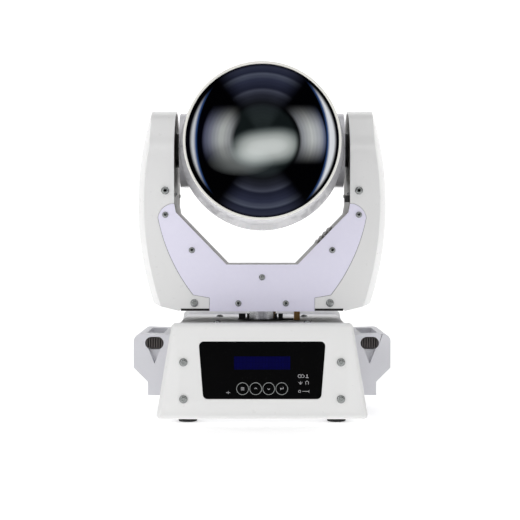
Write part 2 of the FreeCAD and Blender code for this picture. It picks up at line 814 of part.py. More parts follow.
def make_panel():
    top = "panel_bottom + panel_height"
    body = new_body("panel_body")
    face = outline(body, "panel_outline", "XZ_Plane",
                   [("-panel_bottom_half", "panel_bottom"), ("panel_bottom_half", "panel_bottom"),
                    ("panel_top_half", top), ("-panel_top_half", top)], "base_depth / 2 - panel_sink")
    pad(body, face, "cover_front - panel_sink", backwards=True)
    round_edges(body, "panel_round", lambda edge: along(edge, AXIS_Y))
    window = outline(body, "panel_window", "XZ_Plane",
                     [("-window_half", "window_bottom"), ("window_half", "window_bottom"),
                      ("window_half", "window_bottom + window_height"),
                      ("-window_half", "window_bottom + window_height")],
                     "base_depth / 2 + over")
    pocket(body, window, "cover_front + 2 * over")
    pocket(body, discs(body, "button_holes", "XZ_Plane", [(x, "button_height") for x in BUTTON_X],
                       "button_radius + button_gap", "base_depth / 2 + over"), "cover_front + 2 * over")
    node("display_panel", body)

    # display: glass that fills the window, on a wider carrier behind the panel
    glass = box("lcd_glass", ("-window_half", "window_half"), (f"{FRONT_Y} + panel_sink + glass_sink", WALL_BACK),
                ("window_bottom", "window_bottom + window_height"))
    carrier = box("lcd_carrier", ("-window_half - lcd_margin", "window_half + lcd_margin"),
                  (WALL_BACK, f"{WALL_BACK} + lcd_depth"),
                  ("window_bottom - lcd_margin", "window_bottom + window_height + lcd_margin"))
    node("lcd_module", fuse("lcd_fused", glass, carrier))

    board = box("board_plate", ("-panel_top_half - board_margin", "panel_top_half + board_margin"),
                (f"{WALL_BACK} + lcd_depth", f"{WALL_BACK} + lcd_depth + board_wall"),
                ("panel_bottom - board_margin", f"{top} + board_margin"))
    switch_front = f"{WALL_BACK} + button_gap + flange_wall + button_travel + button_gap"
    switches = [box(f"switch_{i}", (f"{x} - switch_half", f"{x} + switch_half"),
                    (switch_front, f"{WALL_BACK} + lcd_depth"),
                    ("button_height - switch_half", "button_height + switch_half"))
                for i, x in enumerate(BUTTON_X)]
    posts = [box(f"board_post_{i}", (f"{x} - post_half", f"{x} + post_half"),
                 (WALL_BACK, f"{WALL_BACK} + lcd_depth"), (z, f"{z} + post_height"))
             for i, (x, z) in enumerate(BOARD_POSTS)]
    node("display_board", fuse("board_fused", board, *switches, *posts))
    for label, x in zip(("menu_button", "up_button", "down_button", "enter_button"), BUTTON_X):
        cap = rod(f"{label}_cap", "button_radius", "y",
                  (f"{FRONT_Y} - button_proud", f"{WALL_BACK} + button_gap"), (x, "button_height"))
        flange = rod(f"{label}_flange", "button_flange", "y",
                     (f"{WALL_BACK} + button_gap", f"{WALL_BACK} + button_gap + flange_wall"),
                     (x, "button_height"))
        node(label, fuse(f"{label}_fused", cap, flange))


BUTTON_X = [f"{step} * button_pitch" for step in (-1.5, -0.5, 0.5, 1.5)]
BOARD_POSTS = [("-panel_top_half", "panel_bottom - post_drop"), ("panel_top_half", "panel_bottom - post_drop"),
               ("-panel_top_half", "panel_bottom + panel_height + over"),
               ("panel_top_half", "panel_bottom + panel_height + over")]


def make_electrics():
    front = "electrics_front"
    node("power_supply", box("supply_box", ("-electrics_split - supply_width", "-electrics_split"),
                             (front, f"{front} + supply_length"), ("plate_wall", "plate_wall + supply_height")))
    node("lamp_ballast", box("ballast_box", ("electrics_split", "electrics_split + ballast_width"),
                             (front, f"{front} + ballast_length"), ("plate_wall", "plate_wall + ballast_height")))


def make_pan_column():
    under = f"({SHELL_TOP} - sheet_wall)"
    top = f"({PULLEY_Z} + pulley_width + column_head)"
    points = [("column_bore", f"{under} - column_tail"), ("column_radius", f"{under} - column_tail"),
              ("column_radius", f"{under} - column_flange_wall"),
              ("column_flange", f"{under} - column_flange_wall"), ("column_flange", under),
              ("column_radius", under), ("column_radius", f"{FLOOR_TOP} - part_clearance"),
              ("column_neck", f"{FLOOR_TOP} - part_clearance"), ("column_neck", top), ("column_bore", top)]
    node("pan_column", turned("column_body", points, role="XZ_Plane"))
    rim_span = (PULLEY_Z, f"{PULLEY_Z} + pulley_width")
    node("pan_pulley", tube("pan_pulley_rim", "pan_pulley_radius", "column_neck", "z", rim_span))
    plate = (SHELL_TOP, f"{SHELL_TOP} + sensor_wall")
    post = (SHELL_TOP, f"{SHELL_TOP} + sensor_wall + sensor_post_height")
    deep = ("-sensor_post_half", "sensor_post_half")
    near = "column_radius + sensor_post_gap"
    ring = tube("sensor_ring_plate", "sensor_ring", near, "z", plate)
    posts = [box("sensor_left_post", ("-sensor_ring + over", f"-({near})"), deep, post),
             box("sensor_right_post", (near, "sensor_ring - sensor_edge"), deep, post),
             box("sensor_arm", ("sensor_ring - sensor_edge", "latch_x - over"), deep, plate)]
    node("pan_sensor_bracket", fuse("sensor_fused", ring, *posts))
    node("pan_lock_latch", box("pan_latch", ("latch_x", "latch_x + latch_width"), ("-latch_half", "latch_half"),
                               (f"{SHELL_TOP} + part_clearance", f"{SHELL_TOP} + part_clearance + latch_height")))


# ---- yoke ----

def half_plate():
    """Right half of the front plate, from the middle of its lower edge round to the middle of its upper one."""
    return [("foot_step_half", YOKE_Z), ("foot_step_half", f"{YOKE_Z} + foot_step_height"),
            ("foot_slope_x", f"{YOKE_Z} + foot_slope", "flank_radius"),
            ("flank_top_x", f"{YOKE_Z} + flank_top_height", "lobe_radius"),
            (ARM_X, f"{YOKE_Z} + lobe_top_height"), (ELBOW_X, ELBOW_Z), ("crossbar_half", CROSS_Z)]


PLATE_SCREWS = [(f"{side} * plate_screw_{level}_x", f"{YOKE_Z} + plate_screw_{level}")
                for side in (-1, 1) for level in ("high", "mid", "low")]
PLATE_SCREWS.append(("0", f"{YOKE_Z} + plate_screw_centre"))
COVER_SCREWS = [(f"{side} * cover_screw_{level}_x", f"{YOKE_Z} + cover_screw_{level}")
                for side in (-1, 1) for level in ("high", "low")]
YOKE_ENDS = (("-yoke_half_depth", -1), ("yoke_half_depth", 1))


def places_on_ends(spots):
    return [("y", end_y, spot, outward) for end_y, outward in YOKE_ENDS for spot in spots]


def make_yoke_plates():
    for label, end in (("yoke_front_plate", -1), ("yoke_rear_plate", 1)):
        body = new_body(label + "_body")
        drawing = outline(body, label + "_outline", "XZ_Plane", mirrored_points(half_plate()),
                          f"-({end}) * yoke_half_depth")
        pad(body, drawing, "yoke_wall", backwards=end < 0)
        holes = discs(body, label + "_holes", "XZ_Plane", PLATE_SCREWS, "small_shank + screw_clearance",
                      f"-({end}) * (yoke_half_depth + over)")
        pocket(body, holes, "yoke_wall + 2 * over", backwards=end > 0)
        node(label, body)
    make_screws("yoke_plate_screws", places_on_ends(PLATE_SCREWS), "small_head", "small_head_height",
                "small_shank")
    make_screws("yoke_cover_screws", places_on_ends(COVER_SCREWS), "screw_head", "screw_head_height",
                "screw_shank")


def prism(name, role, points, low, high):
    """A body padded from an outline between two places along the plane's normal."""
    body = new_body(name)
    pad(body, outline(body, f"{name}_outline", role, points, low), f"({high}) - ({low})")
    return body


def side_profile(inset):
    """The arm seen from the side: upright edges with a half-round top."""
    half = f"(yoke_half_depth - {inset})"
    low = f"({YOKE_Z} - side_spare)"
    return [(f"-{half}", low), (half, low), (half, SHOULDER_Z, half),
            ("0", f"{SHOULDER_Z} + {half}", half), (f"-{half}", SHOULDER_Z)]


def dome(name, side, inset):
    """The bulged outside of an arm: an arc in plan, swung about a far axis along Y."""
    axis_x = f"({DOME_X} - {DOME_RADIUS})"
    hub = f"({DOME_RADIUS} - dome_core)"
    radius = f"(dome_radius_deep - {inset})"
    reach = f"({DOME_RADIUS} - dome_radius_deep + sqrt({radius} ^ 2 - {DOME_DEPTH} ^ 2))"
    points = [(hub, f"-{DOME_DEPTH}"), (reach, f"-{DOME_DEPTH}", radius),
              (f"{DOME_RADIUS} - {inset}", "0", radius), (reach, DOME_DEPTH), (hub, DOME_DEPTH)]
    body = new_body(name)
    drawing = outline(body, f"{name}_outline", "XY_Plane", points)
    feature = body.newObject("PartDesign::Revolution", f"{name}_turn")
    feature.Profile = drawing
    feature.ReferenceAxis = (drawing, ["V_Axis"])
    feature.Angle = DOME_SWING
    feature.Midplane = True
    turn = FreeCAD.Rotation() if side > 0 else FreeCAD.Rotation(AXIS_Z, 180)
    body.Placement = FreeCAD.Placement(FreeCAD.Vector(), turn)
    bind(body, "Placement.Base.x", f"{side} * {axis_x}")
    bind(body, "Placement.Base.z", f"{TILT_Z} - dome_below_axis")
    doc.recompute()
    return body


def make_arm_cover(label, side):
    """A moulded half-shell: domed outside, flat front and back rims, open towards the head."""
    foot = f"{YOKE_Z} + cover_hem"
    reach = f"({DOME_X} + side_spare)"
    roof = f"{ARM_TOP} + dome_spare"
    sole = f"{YOKE_Z} + floor_gap"
    flank = [(ARM_X, roof), (ARM_X, f"{YOKE_Z} + lobe_top_height + seam", "-(lobe_radius + seam)"),
             ("flank_top_x + seam", f"{YOKE_Z} + flank_top_height", "-(flank_radius - seam)"),
             ("foot_slope_x + seam", f"{YOKE_Z} + foot_slope - seam"),
             ("foot_step_half + seam", f"{YOKE_Z} + foot_step_height - seam"),
             ("foot_step_half + seam", foot), ("floor_half", foot), ("floor_half + hem_run", sole),
             (reach, f"{sole} + ({reach} - floor_half - hem_run) * cover_foot_rise"), (reach, roof)]
    flank = [(f"{side} * ({point[0]})", point[1]) + tuple(f"{side} * ({r})" for r in point[2:])
             for point in flank]
    front = prism(f"{label}_front", "XZ_Plane", flank, "-yoke_half_depth", "yoke_half_depth")
    low = f"{side} * foot_step_half"
    wide = (low, f"{side} * {reach}") if side > 0 else (f"{side} * {reach}", low)
    outer = prism(f"{label}_side", "YZ_Plane", side_profile("0"), *wide)
    bulge = dome(f"{label}_dome", side, "0")
    solid = common(f"{label}_solid", front, outer, bulge)
    near = f"{side} * (foot_step_half - dome_spare)"
    hollow_span = (near, f"{side} * {reach}") if side > 0 else (f"{side} * {reach}", near)
    hollow_side = prism(f"{label}_hollow_side", "YZ_Plane", side_profile("yoke_wall"), *hollow_span)
    lift = f"{sole} + yoke_wall"
    above = [(near, f"{lift} + cover_hem"), (f"{side} * floor_half", f"{lift} + cover_hem"),
             (f"{side} * (floor_half + 2 * hem_run)", lift),
             (f"{side} * {reach}", f"{lift} + ({reach} - floor_half - 2 * hem_run) * cover_foot_rise"),
             (f"{side} * {reach}", roof), (near, roof)]
    hollow_front = prism(f"{label}_hollow_front", "XZ_Plane", above, f"-{INNER_DEPTH}", INNER_DEPTH)
    hollow = common(f"{label}_hollow", hollow_front, hollow_side, dome(f"{label}_hollow_dome", side, "yoke_wall"))
    spots = [spot for spot in COVER_SCREWS if spot[0].startswith(f"{side} ")]
    holes = screw_holes(f"{label}_holes", places_on_ends(spots), "screw_shank")
    return node(label, cut(f"{label}_cut", solid, hollow, holes))


def make_yoke_frame():
    """Folded inner skin, floor, two ribs, motor shelves and bearing housings, welded into one."""
    skin_top = f"{ARM_TOP} - yoke_wall - over"
    outer = [(ARM_X, skin_top), (ARM_X, f"{YOKE_Z} + lobe_top_height"), (ELBOW_X, ELBOW_Z),
             ("crossbar_half", CROSS_Z)]
    inner = [("crossbar_half + skin_wall", f"{CROSS_Z} - skin_wall"),
             (f"{ELBOW_X} + skin_wall", f"{ELBOW_Z} - skin_wall"),
             (f"{ARM_X} + skin_wall", f"{YOKE_Z} + lobe_top_height"), (f"{ARM_X} + skin_wall", skin_top)]
    band = outer[::-1] + inner[::-1]
    left = [(f"-({x})", z) for x, z in reversed(band)]
    skin = new_body("skin_body")
    pad(skin, outline(skin, "skin_outline", "XZ_Plane", band + left), f"2 * {INNER_DEPTH}", both_ways=True)
    top = number(skin_top)
    round_edges(skin, f"{INNER_DEPTH} - floor_gap", lambda edge: along(edge, AXIS_X)
                and abs(edge.Vertexes[0].Point.z - top) < NEAR)
    floor = box("yoke_floor", ("-floor_half", "floor_half"), (f"-{INNER_DEPTH}", INNER_DEPTH),
                (f"{YOKE_Z} + floor_gap", FLOOR_TOP))
    hem_top = f"{YOKE_Z} + floor_gap + yoke_wall + cover_hem + part_clearance"
    rib_points = [("foot_step_half - over", f"{FLOOR_TOP} - over"), ("foot_step_half - over", hem_top),
                  ("floor_half - 2 * hem_run", hem_top),
                  ("rib_reach", f"{TILT_MOTOR_Z} - motor_half - rib_margin"),
                  ("rib_reach", f"{TILT_MOTOR_Z} + motor_half + rib_margin"),
                  (f"{ELBOW_X} + over", f"{ELBOW_Z} - over"),
                  ("crossbar_half + over", f"{CROSS_Z} - over")]
    ribs = []
    for name, low in (("front_rib", f"-{RIB_HALF} - skin_wall"), ("rear_rib", RIB_HALF)):
        ribs.append(prism(name, "XZ_Plane", mirrored_points(rib_points), f"-({low}) - skin_wall", f"-({low})"))
    across = (f"-{RIB_HALF} - over", f"{RIB_HALF} + over")
    shelf = box("pan_shelf", ("crossbar_half + shelf_inset", "floor_half - hem_run"), across,
                (MOTOR_SHELF, f"{MOTOR_SHELF} + skin_wall"))
    plates = [box(f"tilt_shelf_{word}", span, across,
                  (f"{TILT_MOTOR_Z} - motor_half - shelf_margin", f"{TILT_MOTOR_Z} + motor_half + shelf_margin"))
              for word, span in (("left", ("-rib_reach", "-rib_reach + skin_wall")),
                                 ("right", ("rib_reach - skin_wall", "rib_reach")))]
    pan_ring = rod("pan_housing", "column_neck + bearing_wall + housing_wall", "z",
                   (f"{FLOOR_TOP} - floor_gap", f"{FLOOR_TOP} + bearing_width"))
    housing = "shaft_radius + tilt_bearing_wall + housing_wall"
    tilt_rings = [rod(f"tilt_housing_{word}", housing, "x", span, ("0", TILT_Z))
                  for word, span in (("left", (f"-{ARM_X} - skin_wall - bearing_width", f"-{ARM_X} - floor_gap")),
                                     ("right", (f"{ARM_X} + floor_gap", f"{ARM_X} + skin_wall + bearing_width")))]
    solid = fuse("frame_solid", skin, floor, *ribs, shelf, *plates, pan_ring, *tilt_rings)
    cuts = [rod("pan_seat", "column_neck + bearing_wall", "z",
                (FLOOR_TOP, f"{FLOOR_TOP} + bearing_width + over")),
            rod("pan_way", "column_radius + shaft_room", "z", (f"{YOKE_Z} - over", f"{FLOOR_TOP} + over")),
            rod("shaft_way", "shaft_radius + shaft_room", "x",
                (f"-{ARM_X} - skin_wall - over", f"{ARM_X} + skin_wall + over"), ("0", TILT_Z)),
            rod("pan_shaft_way", "motor_shaft + motor_shaft_room", "z",
                (f"{MOTOR_SHELF} - over", f"{MOTOR_SHELF} + skin_wall + over"), ("pan_motor_x", "0")),
            rod("tilt_shaft_way", "motor_shaft + motor_shaft_room", "x",
                ("rib_reach - skin_wall - over", "rib_reach + over"), ("0", TILT_MOTOR_Z))]
    for word, span in (("left", (f"-{ARM_X} - skin_wall - bearing_width - over", f"-{ARM_X} - skin_wall")),
                       ("right", (f"{ARM_X} + skin_wall", f"{ARM_X} + skin_wall + bearing_width + over"))):
        cuts.append(rod(f"tilt_seat_{word}", "shaft_radius + tilt_bearing_wall", "x", span, ("0", TILT_Z)))
    node("yoke_frame", cut("frame_cut", solid, *cuts))


def make_bearings():
    node("pan_bearing", tube("pan_ball_bearing", "column_neck + bearing_wall", "column_neck + run_clearance", "z",
                             (FLOOR_TOP, f"{FLOOR_TOP} + bearing_width")))
    rings = []
    for word, span in (("left", (f"-{ARM_X} - skin_wall - bearing_width", f"-{ARM_X} - skin_wall")),
                       ("right", (f"{ARM_X} + skin_wall", f"{ARM_X} + skin_wall + bearing_width"))):
        rings.append(tube(f"tilt_bearing_{word}", "shaft_radius + tilt_bearing_wall",
                          "shaft_radius + run_clearance", "x", span, ("0", TILT_Z)))
    node("tilt_bearings", group("tilt_bearing_group", rings))


def belt_loop(name, role, big, small, distance, grow, low, high):
    """A solid with a belt's outline round two pulleys, the small one along the sketch's first axis."""
    lean = f"(({big}) - ({small})) / ({distance})"
    rise = f"sqrt(1 - ({lean}) ^ 2)"
    far_big = f"(({big}) + {grow})"
    far_small = f"(({small}) + {grow})"
    points = [(f"{far_big} * {lean}", f"-{far_big} * {rise}"),
              (f"{distance} + {far_small} * {lean}", f"-{far_small} * {rise}", far_small),
              (f"{distance} + {far_small}", "0", far_small),
              (f"{distance} + {far_small} * {lean}", f"{far_small} * {rise}"),
              (f"{far_big} * {lean}", f"{far_big} * {rise}", far_big),
              ("0", far_big, far_big), (f"-{far_big}", "0", far_big), ("0", f"-{far_big}", far_big)]
    return prism(name, role, points, low, high)


def make_belt(label, role, big, small, distance, low, high):
    loop = belt_loop(f"{label}_out", role, big, small, distance, "part_clearance + belt_wall", low, high)
    hole = belt_loop(f"{label}_in", role, big, small, distance, "part_clearance",
                     f"{low} - over", f"{high} + over")
    return node(label, cut(f"{label}_cut", loop, hole))


def make_pan_drive():
    top = f"({MOTOR_SHELF} + skin_wall)"
    centre = ("pan_motor_x", "0")
    can = box("pan_motor_can", ("pan_motor_x - motor_half", "pan_motor_x + motor_half"),
              ("-motor_half", "motor_half"), (top, f"{top} + motor_length"))
    shaft = rod("pan_motor_shaft", "motor_shaft", "z", (PULLEY_Z, f"{top} + over"), centre)
    node("pan_motor", fuse("pan_motor_fused", can, shaft))
    node("pan_motor_pulley", tube("pan_small_pulley", "motor_pulley_radius", "motor_shaft + run_clearance", "z",
                                  (PULLEY_Z, f"{PULLEY_Z} + pulley_width"), centre))
    make_belt("pan_belt", "XY_Plane", "pan_pulley_radius", "motor_pulley_radius", "pan_motor_x",
              f"{PULLEY_Z} + belt_margin", f"{PULLEY_Z} + pulley_width - belt_margin")


def make_tilt_drive():
    centre = ("0", TILT_MOTOR_Z)
    face = "(rib_reach - skin_wall)"
    can = box("tilt_motor_can", (f"{face} - motor_length", face), ("-motor_half", "motor_half"),
              (f"{TILT_MOTOR_Z} - motor_half", f"{TILT_MOTOR_Z} + motor_half"))
    shaft = rod("tilt_motor_shaft", "motor_shaft", "x",
                (f"{face} - over", "belt_plane + pulley_width + pulley_room"), centre)
    node("tilt_motor", fuse("tilt_motor_fused", can, shaft))
    span = ("belt_plane + pulley_offset", "belt_plane + pulley_offset + pulley_width")
    node("tilt_motor_pulley", tube("tilt_small_pulley", "motor_pulley_radius", "motor_shaft + run_clearance", "x",
                                   span, centre))
    node("tilt_pulley", tube("tilt_big_pulley", "tilt_pulley_radius", "shaft_radius", "x", span, ("0", TILT_Z)))
    loops = []
    distance = f"({TILT_Z} - {TILT_MOTOR_Z})"
    edges = (f"{span[0]} + belt_margin", f"{span[1]} - belt_margin")
    for word, grow, low, high in (("out", "part_clearance + belt_wall", edges[0], edges[1]),
                                  ("in", "part_clearance", f"{edges[0]} - over", f"{edges[1]} + over")):
        loop = belt_loop(f"tilt_belt_{word}", "XY_Plane", "tilt_pulley_radius", "motor_pulley_radius",
                         distance, grow, low, high)
        loop.Placement = FreeCAD.Placement(FreeCAD.Vector(), FreeCAD.Rotation(AXIS_Y, 90))
        bind(loop, "Placement.Base.z", TILT_Z)
        loops.append(loop)
    node("tilt_belt", cut("tilt_belt_cut", *loops))
    latch_low = f"{YOKE_Z} + lobe_top_height + tilt_latch_lift"
    latch = box("tilt_latch", (f"{ARM_X} - part_clearance - tilt_latch_width", f"{ARM_X} - part_clearance"),
                ("tilt_latch_inset - yoke_half_depth", "tilt_latch_inset - yoke_half_depth + tilt_latch_length"),
                (latch_low, f"{latch_low} + tilt_latch_height"))
    node("tilt_lock_latch", latch)


# ---- head ----

def head_profile(inset):
    """Half section of the head, radius against depth, closed along its own axis."""
    centre_r = "(head_radius - back_round)"
    radius = f"(back_round - {inset})"
    back = f"(back_y - {inset})"
    back_r = f"{centre_r} + sqrt({radius} ^ 2 - ({back} - head_back_y) ^ 2)"
    front = "nose_y" if inset == "0" else "nose_y - over"
    return [("0", front), (f"nose_radius - {inset}", front), (f"barrel_radius - {inset}", "barrel_y"),
            (f"head_radius - {inset}", "head_shoulder_y"), (f"head_radius - {inset}", "head_back_y", radius),
            (back_r, back), ("0", back)]


def make_head_shells():
    outside = turned("head_outside", head_profile("0"), height=TILT_Z)
    inside = turned("head_inside", head_profile("head_wall"), height=TILT_Z)
    boss = rod("head_boss", "boss_radius", "x", (f"-{BOSS_X}", BOSS_X), ("0", TILT_Z))
    boss_hollow = rod("head_boss_hollow", "boss_radius - head_wall", "x",
                      (f"-{BOSS_X} + head_wall", f"{BOSS_X} - head_wall"), ("0", TILT_Z))
    neck = rod("head_neck_hole", "hub_neck", "x", (f"-{BOSS_X} - over", f"{BOSS_X} + over"), ("0", TILT_Z))
    opening = rod("head_back_hole", "back_opening", "y", ("head_back_y", "back_y + over"), ("0", TILT_Z))
    shell = cut("head_shell", fuse("head_solid", outside, boss), inside, boss_hollow, neck, opening)
    for label, low, high in (("head_upper_shell", f"{TILT_Z} + seam / 2", f"{TILT_Z} + {BIG}"),
                             ("head_lower_shell", f"{TILT_Z} - {BIG}", f"{TILT_Z} - seam / 2")):
        half_space = box(f"{label}_space", (f"-{BIG}", BIG), (f"-{BIG}", BIG), (low, high))
        node(label, common(f"{label}_half", shell, half_space))


def make_front_glass():
    outer = "nose_radius"
    seat = "(nose_radius - bezel_lip)"
    front = "(nose_y - bezel_depth)"
    ledge = f"({front} + lens_sink + lens_edge + seal_wall)"
    spigot = "(nose_radius - head_wall)"
    bezel = [(seat, front), (outer, front), (outer, "nose_y"), (spigot, "nose_y"),
             (spigot, "nose_y + bezel_spigot"), (f"{spigot} - bezel_ledge", "nose_y + bezel_spigot"),
             (f"{spigot} - bezel_ledge", ledge), (seat, ledge)]
    node("front_bezel", turned("bezel_body", bezel, height=TILT_Z))
    seal = [(f"{spigot} - bezel_ledge", f"{ledge} - seal_wall"), (seat, f"{ledge} - seal_wall"), (seat, ledge),
            (f"{spigot} - bezel_ledge", ledge)]
    node("lens_seal", turned("seal_body", seal, height=TILT_Z))
    bulge = f"(({seat} ^ 2 + lens_bulge ^ 2) / (2 * lens_bulge))"
    lens = [("0", f"{front} + lens_sink - lens_bulge", bulge), (seat, f"{front} + lens_sink"),
            (seat, f"{ledge} - seal_wall"), ("0", f"{ledge} - seal_wall")]
    node("front_lens", turned("lens_body", lens, height=TILT_Z))


def make_chassis():
    inner = "head_radius - head_wall"
    front = ("front_bulkhead_y", "front_bulkhead_y + bulkhead_wall")
    rear = ("rear_bulkhead_y", "rear_bulkhead_y + bulkhead_wall")
    centre = ("0", TILT_Z)
    walls = [tube("front_bulkhead", inner, "gate_hole", "y", front, centre),
             tube("rear_bulkhead", inner, "reflector_hole", "y", rear, centre)]
    for word, span in (("left", ("-hub_plate", "-hub_plate + bulkhead_wall")),
                       ("right", ("hub_plate - bulkhead_wall", "hub_plate"))):
        walls.append(box(f"{word}_side_plate", span, ("front_bulkhead_y", "rear_bulkhead_y + over"),
                         (f"{TILT_Z} - hub_flange", f"{TILT_Z} + hub_flange")))
    pins = [rod("colour_pin", "wheel_pin", "y", ("front_bulkhead_y + over", "colour_wheel_y + wheel_wall + over"),
                ("0", f"{TILT_Z} - wheel_offset")),
            rod("gobo_pin", "wheel_pin", "y", ("front_bulkhead_y + over", "gobo_wheel_y + wheel_wall + over"),
                ("0", f"{TILT_Z} + wheel_offset"))]
    for word, side, y in (("left", -1, "shutter_front_y"), ("right", 1, "shutter_front_y + shutter_step")):
        pins.append(rod(f"{word}_shutter_pin", "wheel_pin", "y", (f"{y} - over", "rear_bulkhead_y + over"),
                        (f"{side} * shutter_x", f"{TILT_Z} + shutter_rise")))
    rails = [rod(f"{word}_rail", "rail_radius", "y", ("rail_end_y", "front_bulkhead_y + over"),
                 (f"{side} * rail_x", TILT_Z))
             for word, side in (("left", -1), ("right", 1))]
    node("head_chassis", fuse("chassis_fused", *walls, *pins, *rails))


def make_hubs():
    hubs = []
    for word, side in (("left", -1), ("right", 1)):
        stations = ["hub_plate", f"{BOSS_X} - head_wall", f"{ARM_X} - floor_gap", "shaft_end"]
        stations = [f"{side} * ({station})" for station in stations]
        points = [(stations[0], "shaft_bore"), (stations[0], "hub_flange"), (stations[1], "hub_flange"),
                  (stations[1], "hub_neck"), (stations[2], "hub_neck"), (stations[2], "shaft_radius"),
                  (stations[3], "shaft_radius"), (stations[3], "shaft_bore")]
        hubs.append(turned(f"{word}_hub", points, axis="H_Axis", height=TILT_Z))
    node("tilt_hubs", group("hub_group", hubs))


def make_lamp():
    mouth = "(rear_bulkhead_y + bulkhead_wall)"
    back = f"({mouth} + reflector_depth)"
    bow = "reflector_depth * reflector_bow"
    behind = f"{mouth} + reflector_wall"
    points = [("reflector_mouth + reflector_lip", mouth), ("reflector_mouth + reflector_lip", behind),
              ("reflector_mouth + reflector_wall", behind, f"{bow} + reflector_wall"),
              ("reflector_neck + reflector_wall", back),
              ("reflector_neck", back, f"-({bow})"), ("reflector_mouth", mouth)]
    node("reflector", turned("reflector_body", points, height=TILT_Z))
    tip = f"({back} - lamp_length * lamp_tip_share)"
    neck = "lamp_bulb * lamp_neck_share"
    lamp = [("0", tip), ("lamp_bulb * lamp_tip_width", f"{tip} + over"), ("lamp_bulb", f"{tip} + lamp_bulb"),
            (neck, f"{tip} + 2 * lamp_bulb"), (neck, f"{back} - lamp_seat"),
            ("reflector_neck", f"{back} - lamp_seat"), ("reflector_neck", f"{back} + lamp_seat"),
            ("lamp_base", f"{back} + lamp_seat"),
            ("lamp_base", f"{tip} + lamp_length"), ("0", f"{tip} + lamp_length")]
    node("lamp", turned("lamp_body", lamp, height=TILT_Z))


def make_rear_fan():
    back = "(back_y - head_wall)"
    front = f"({back} - fan_depth)"
    centre = ("0", TILT_Z)
    disc = (front, f"{front} + fan_plate_wall")
    rim = tube("fan_rim", "fan_radius", "fan_radius - fan_rim_wall", "y", (front, back), centre)
    plate = rod("fan_plate", "fan_hub", "y", disc, centre)
    axle = rod("fan_axle_rod", "fan_axle", "y", (f"{front} + over", f"{back} - over"), centre)
    struts = [box("fan_strut_across", ("-fan_radius + over", "fan_radius - over"), disc,
                  (f"{TILT_Z} - fan_strut_half", f"{TILT_Z} + fan_strut_half")),
              box("fan_strut_up", ("-fan_strut_half", "fan_strut_half"), disc,
                  (f"{TILT_Z} - fan_radius + over", f"{TILT_Z} + fan_radius - over"))]
    node("head_fan_frame", fuse("fan_frame_fused", rim, plate, axle, *struts))
    low = f"({front} + fan_plate_wall + part_clearance)"
    high = f"({back} - blade_room)"
    hub = rod("rotor_hub", "fan_hub", "y", (low, high), centre)
    blades = []
    for index in range(int(number("blade_count"))):
        blade = doc.addObject("Part::Box", f"rotor_blade_{index}")
        bind(blade, "Length", "fan_radius - fan_rim_wall - fan_tip_gap - fan_hub + blade_root")
        bind(blade, "Width", f"{high} - {low} - blade_root")
        bind(blade, "Height", "blade_wall")
        lean = FreeCAD.Rotation(AXIS_X, BLADE_LEAN)
        spin = FreeCAD.Rotation(AXIS_Y, ALL_ROUND * index / number("blade_count"))
        turn = spin.multiply(lean)
        start = turn.multVec(FreeCAD.Vector(number("fan_hub - blade_root"), 0, 0))
        middle = FreeCAD.Vector(0, number(f"({low} + {high}) / 2"), 0)
        back_off = number(f"({low} - {high} + blade_root) / 2")
        shift = turn.multVec(FreeCAD.Vector(0, back_off, -number("blade_wall") / 2))
        blade.Placement = FreeCAD.Placement(start + middle + shift + FreeCAD.Vector(0, 0, number(TILT_Z)), turn)
        blades.append(blade)
    bore = rod("rotor_bore", "fan_axle + run_clearance", "y", (f"{low} - over", f"{high} + over"), centre)
    node("head_fan_rotor", cut("rotor_cut", fuse("rotor_solid", hub, *blades), bore))

    # round guard outside: rim, two rings and four spokes
    span = ("back_y", "back_y + grille_wall")
    outer = "(back_opening + grille_margin)"
    rings = [tube("guard_rim", outer, f"{outer} - grille_rim", "y", span, centre)]
    for index, share in enumerate((0.3, 0.5, 0.7)):
        rings.append(tube(f"guard_ring_{index}", f"{outer} * {share} + grille_ring_wall / 2",
                          f"{outer} * {share} - grille_ring_wall / 2", "y", span, centre))
    spokes = [box("guard_spoke_across", (f"-{outer} + grille_weld", f"{outer} - grille_weld"), span,
                  (f"{TILT_Z} - grille_rib_half", f"{TILT_Z} + grille_rib_half")),
              box("guard_spoke_up", ("-grille_rib_half", "grille_rib_half"), span,
                  (f"{TILT_Z} - {outer} + grille_weld", f"{TILT_Z} + {outer} - grille_weld"))]
    node("rear_grille", fuse("guard_fused", *rings, *spokes))


def make_wheel(label, y, rise, holes):
    """A flat disc of openings on a hub, turning on a pin beside the beam."""
    centre = ("0", f"{TILT_Z} + ({rise})")
    disc = rod(f"{label}_disc", "wheel_radius", "y", (y, f"{y} + wheel_wall"), centre)
    through = (f"{y} - wheel_hub_reach - over", f"{y} + wheel_wall + over")
    hub = rod(f"{label}_hub", "wheel_hub", "y", (f"{y} - wheel_hub_reach", f"{y} + wheel_wall"), centre)
    cuts = [rod(f"{label}_bore", "wheel_pin + run_clearance", "y", through, centre)]
    for index in range(holes):
        angle = 2 * math.pi * index / holes
        across = f"wheel_offset * {math.sin(angle):.6f}"
        up = f"{TILT_Z} + ({rise}) - wheel_offset * {math.cos(angle):.6f} * {1 if number(rise) > 0 else -1}"
        cuts.append(rod(f"{label}_opening_{index}", "wheel_hole", "y", through, (across, up)))
    return node(label, cut(f"{label}_cut", fuse(f"{label}_solid", disc, hub), *cuts))


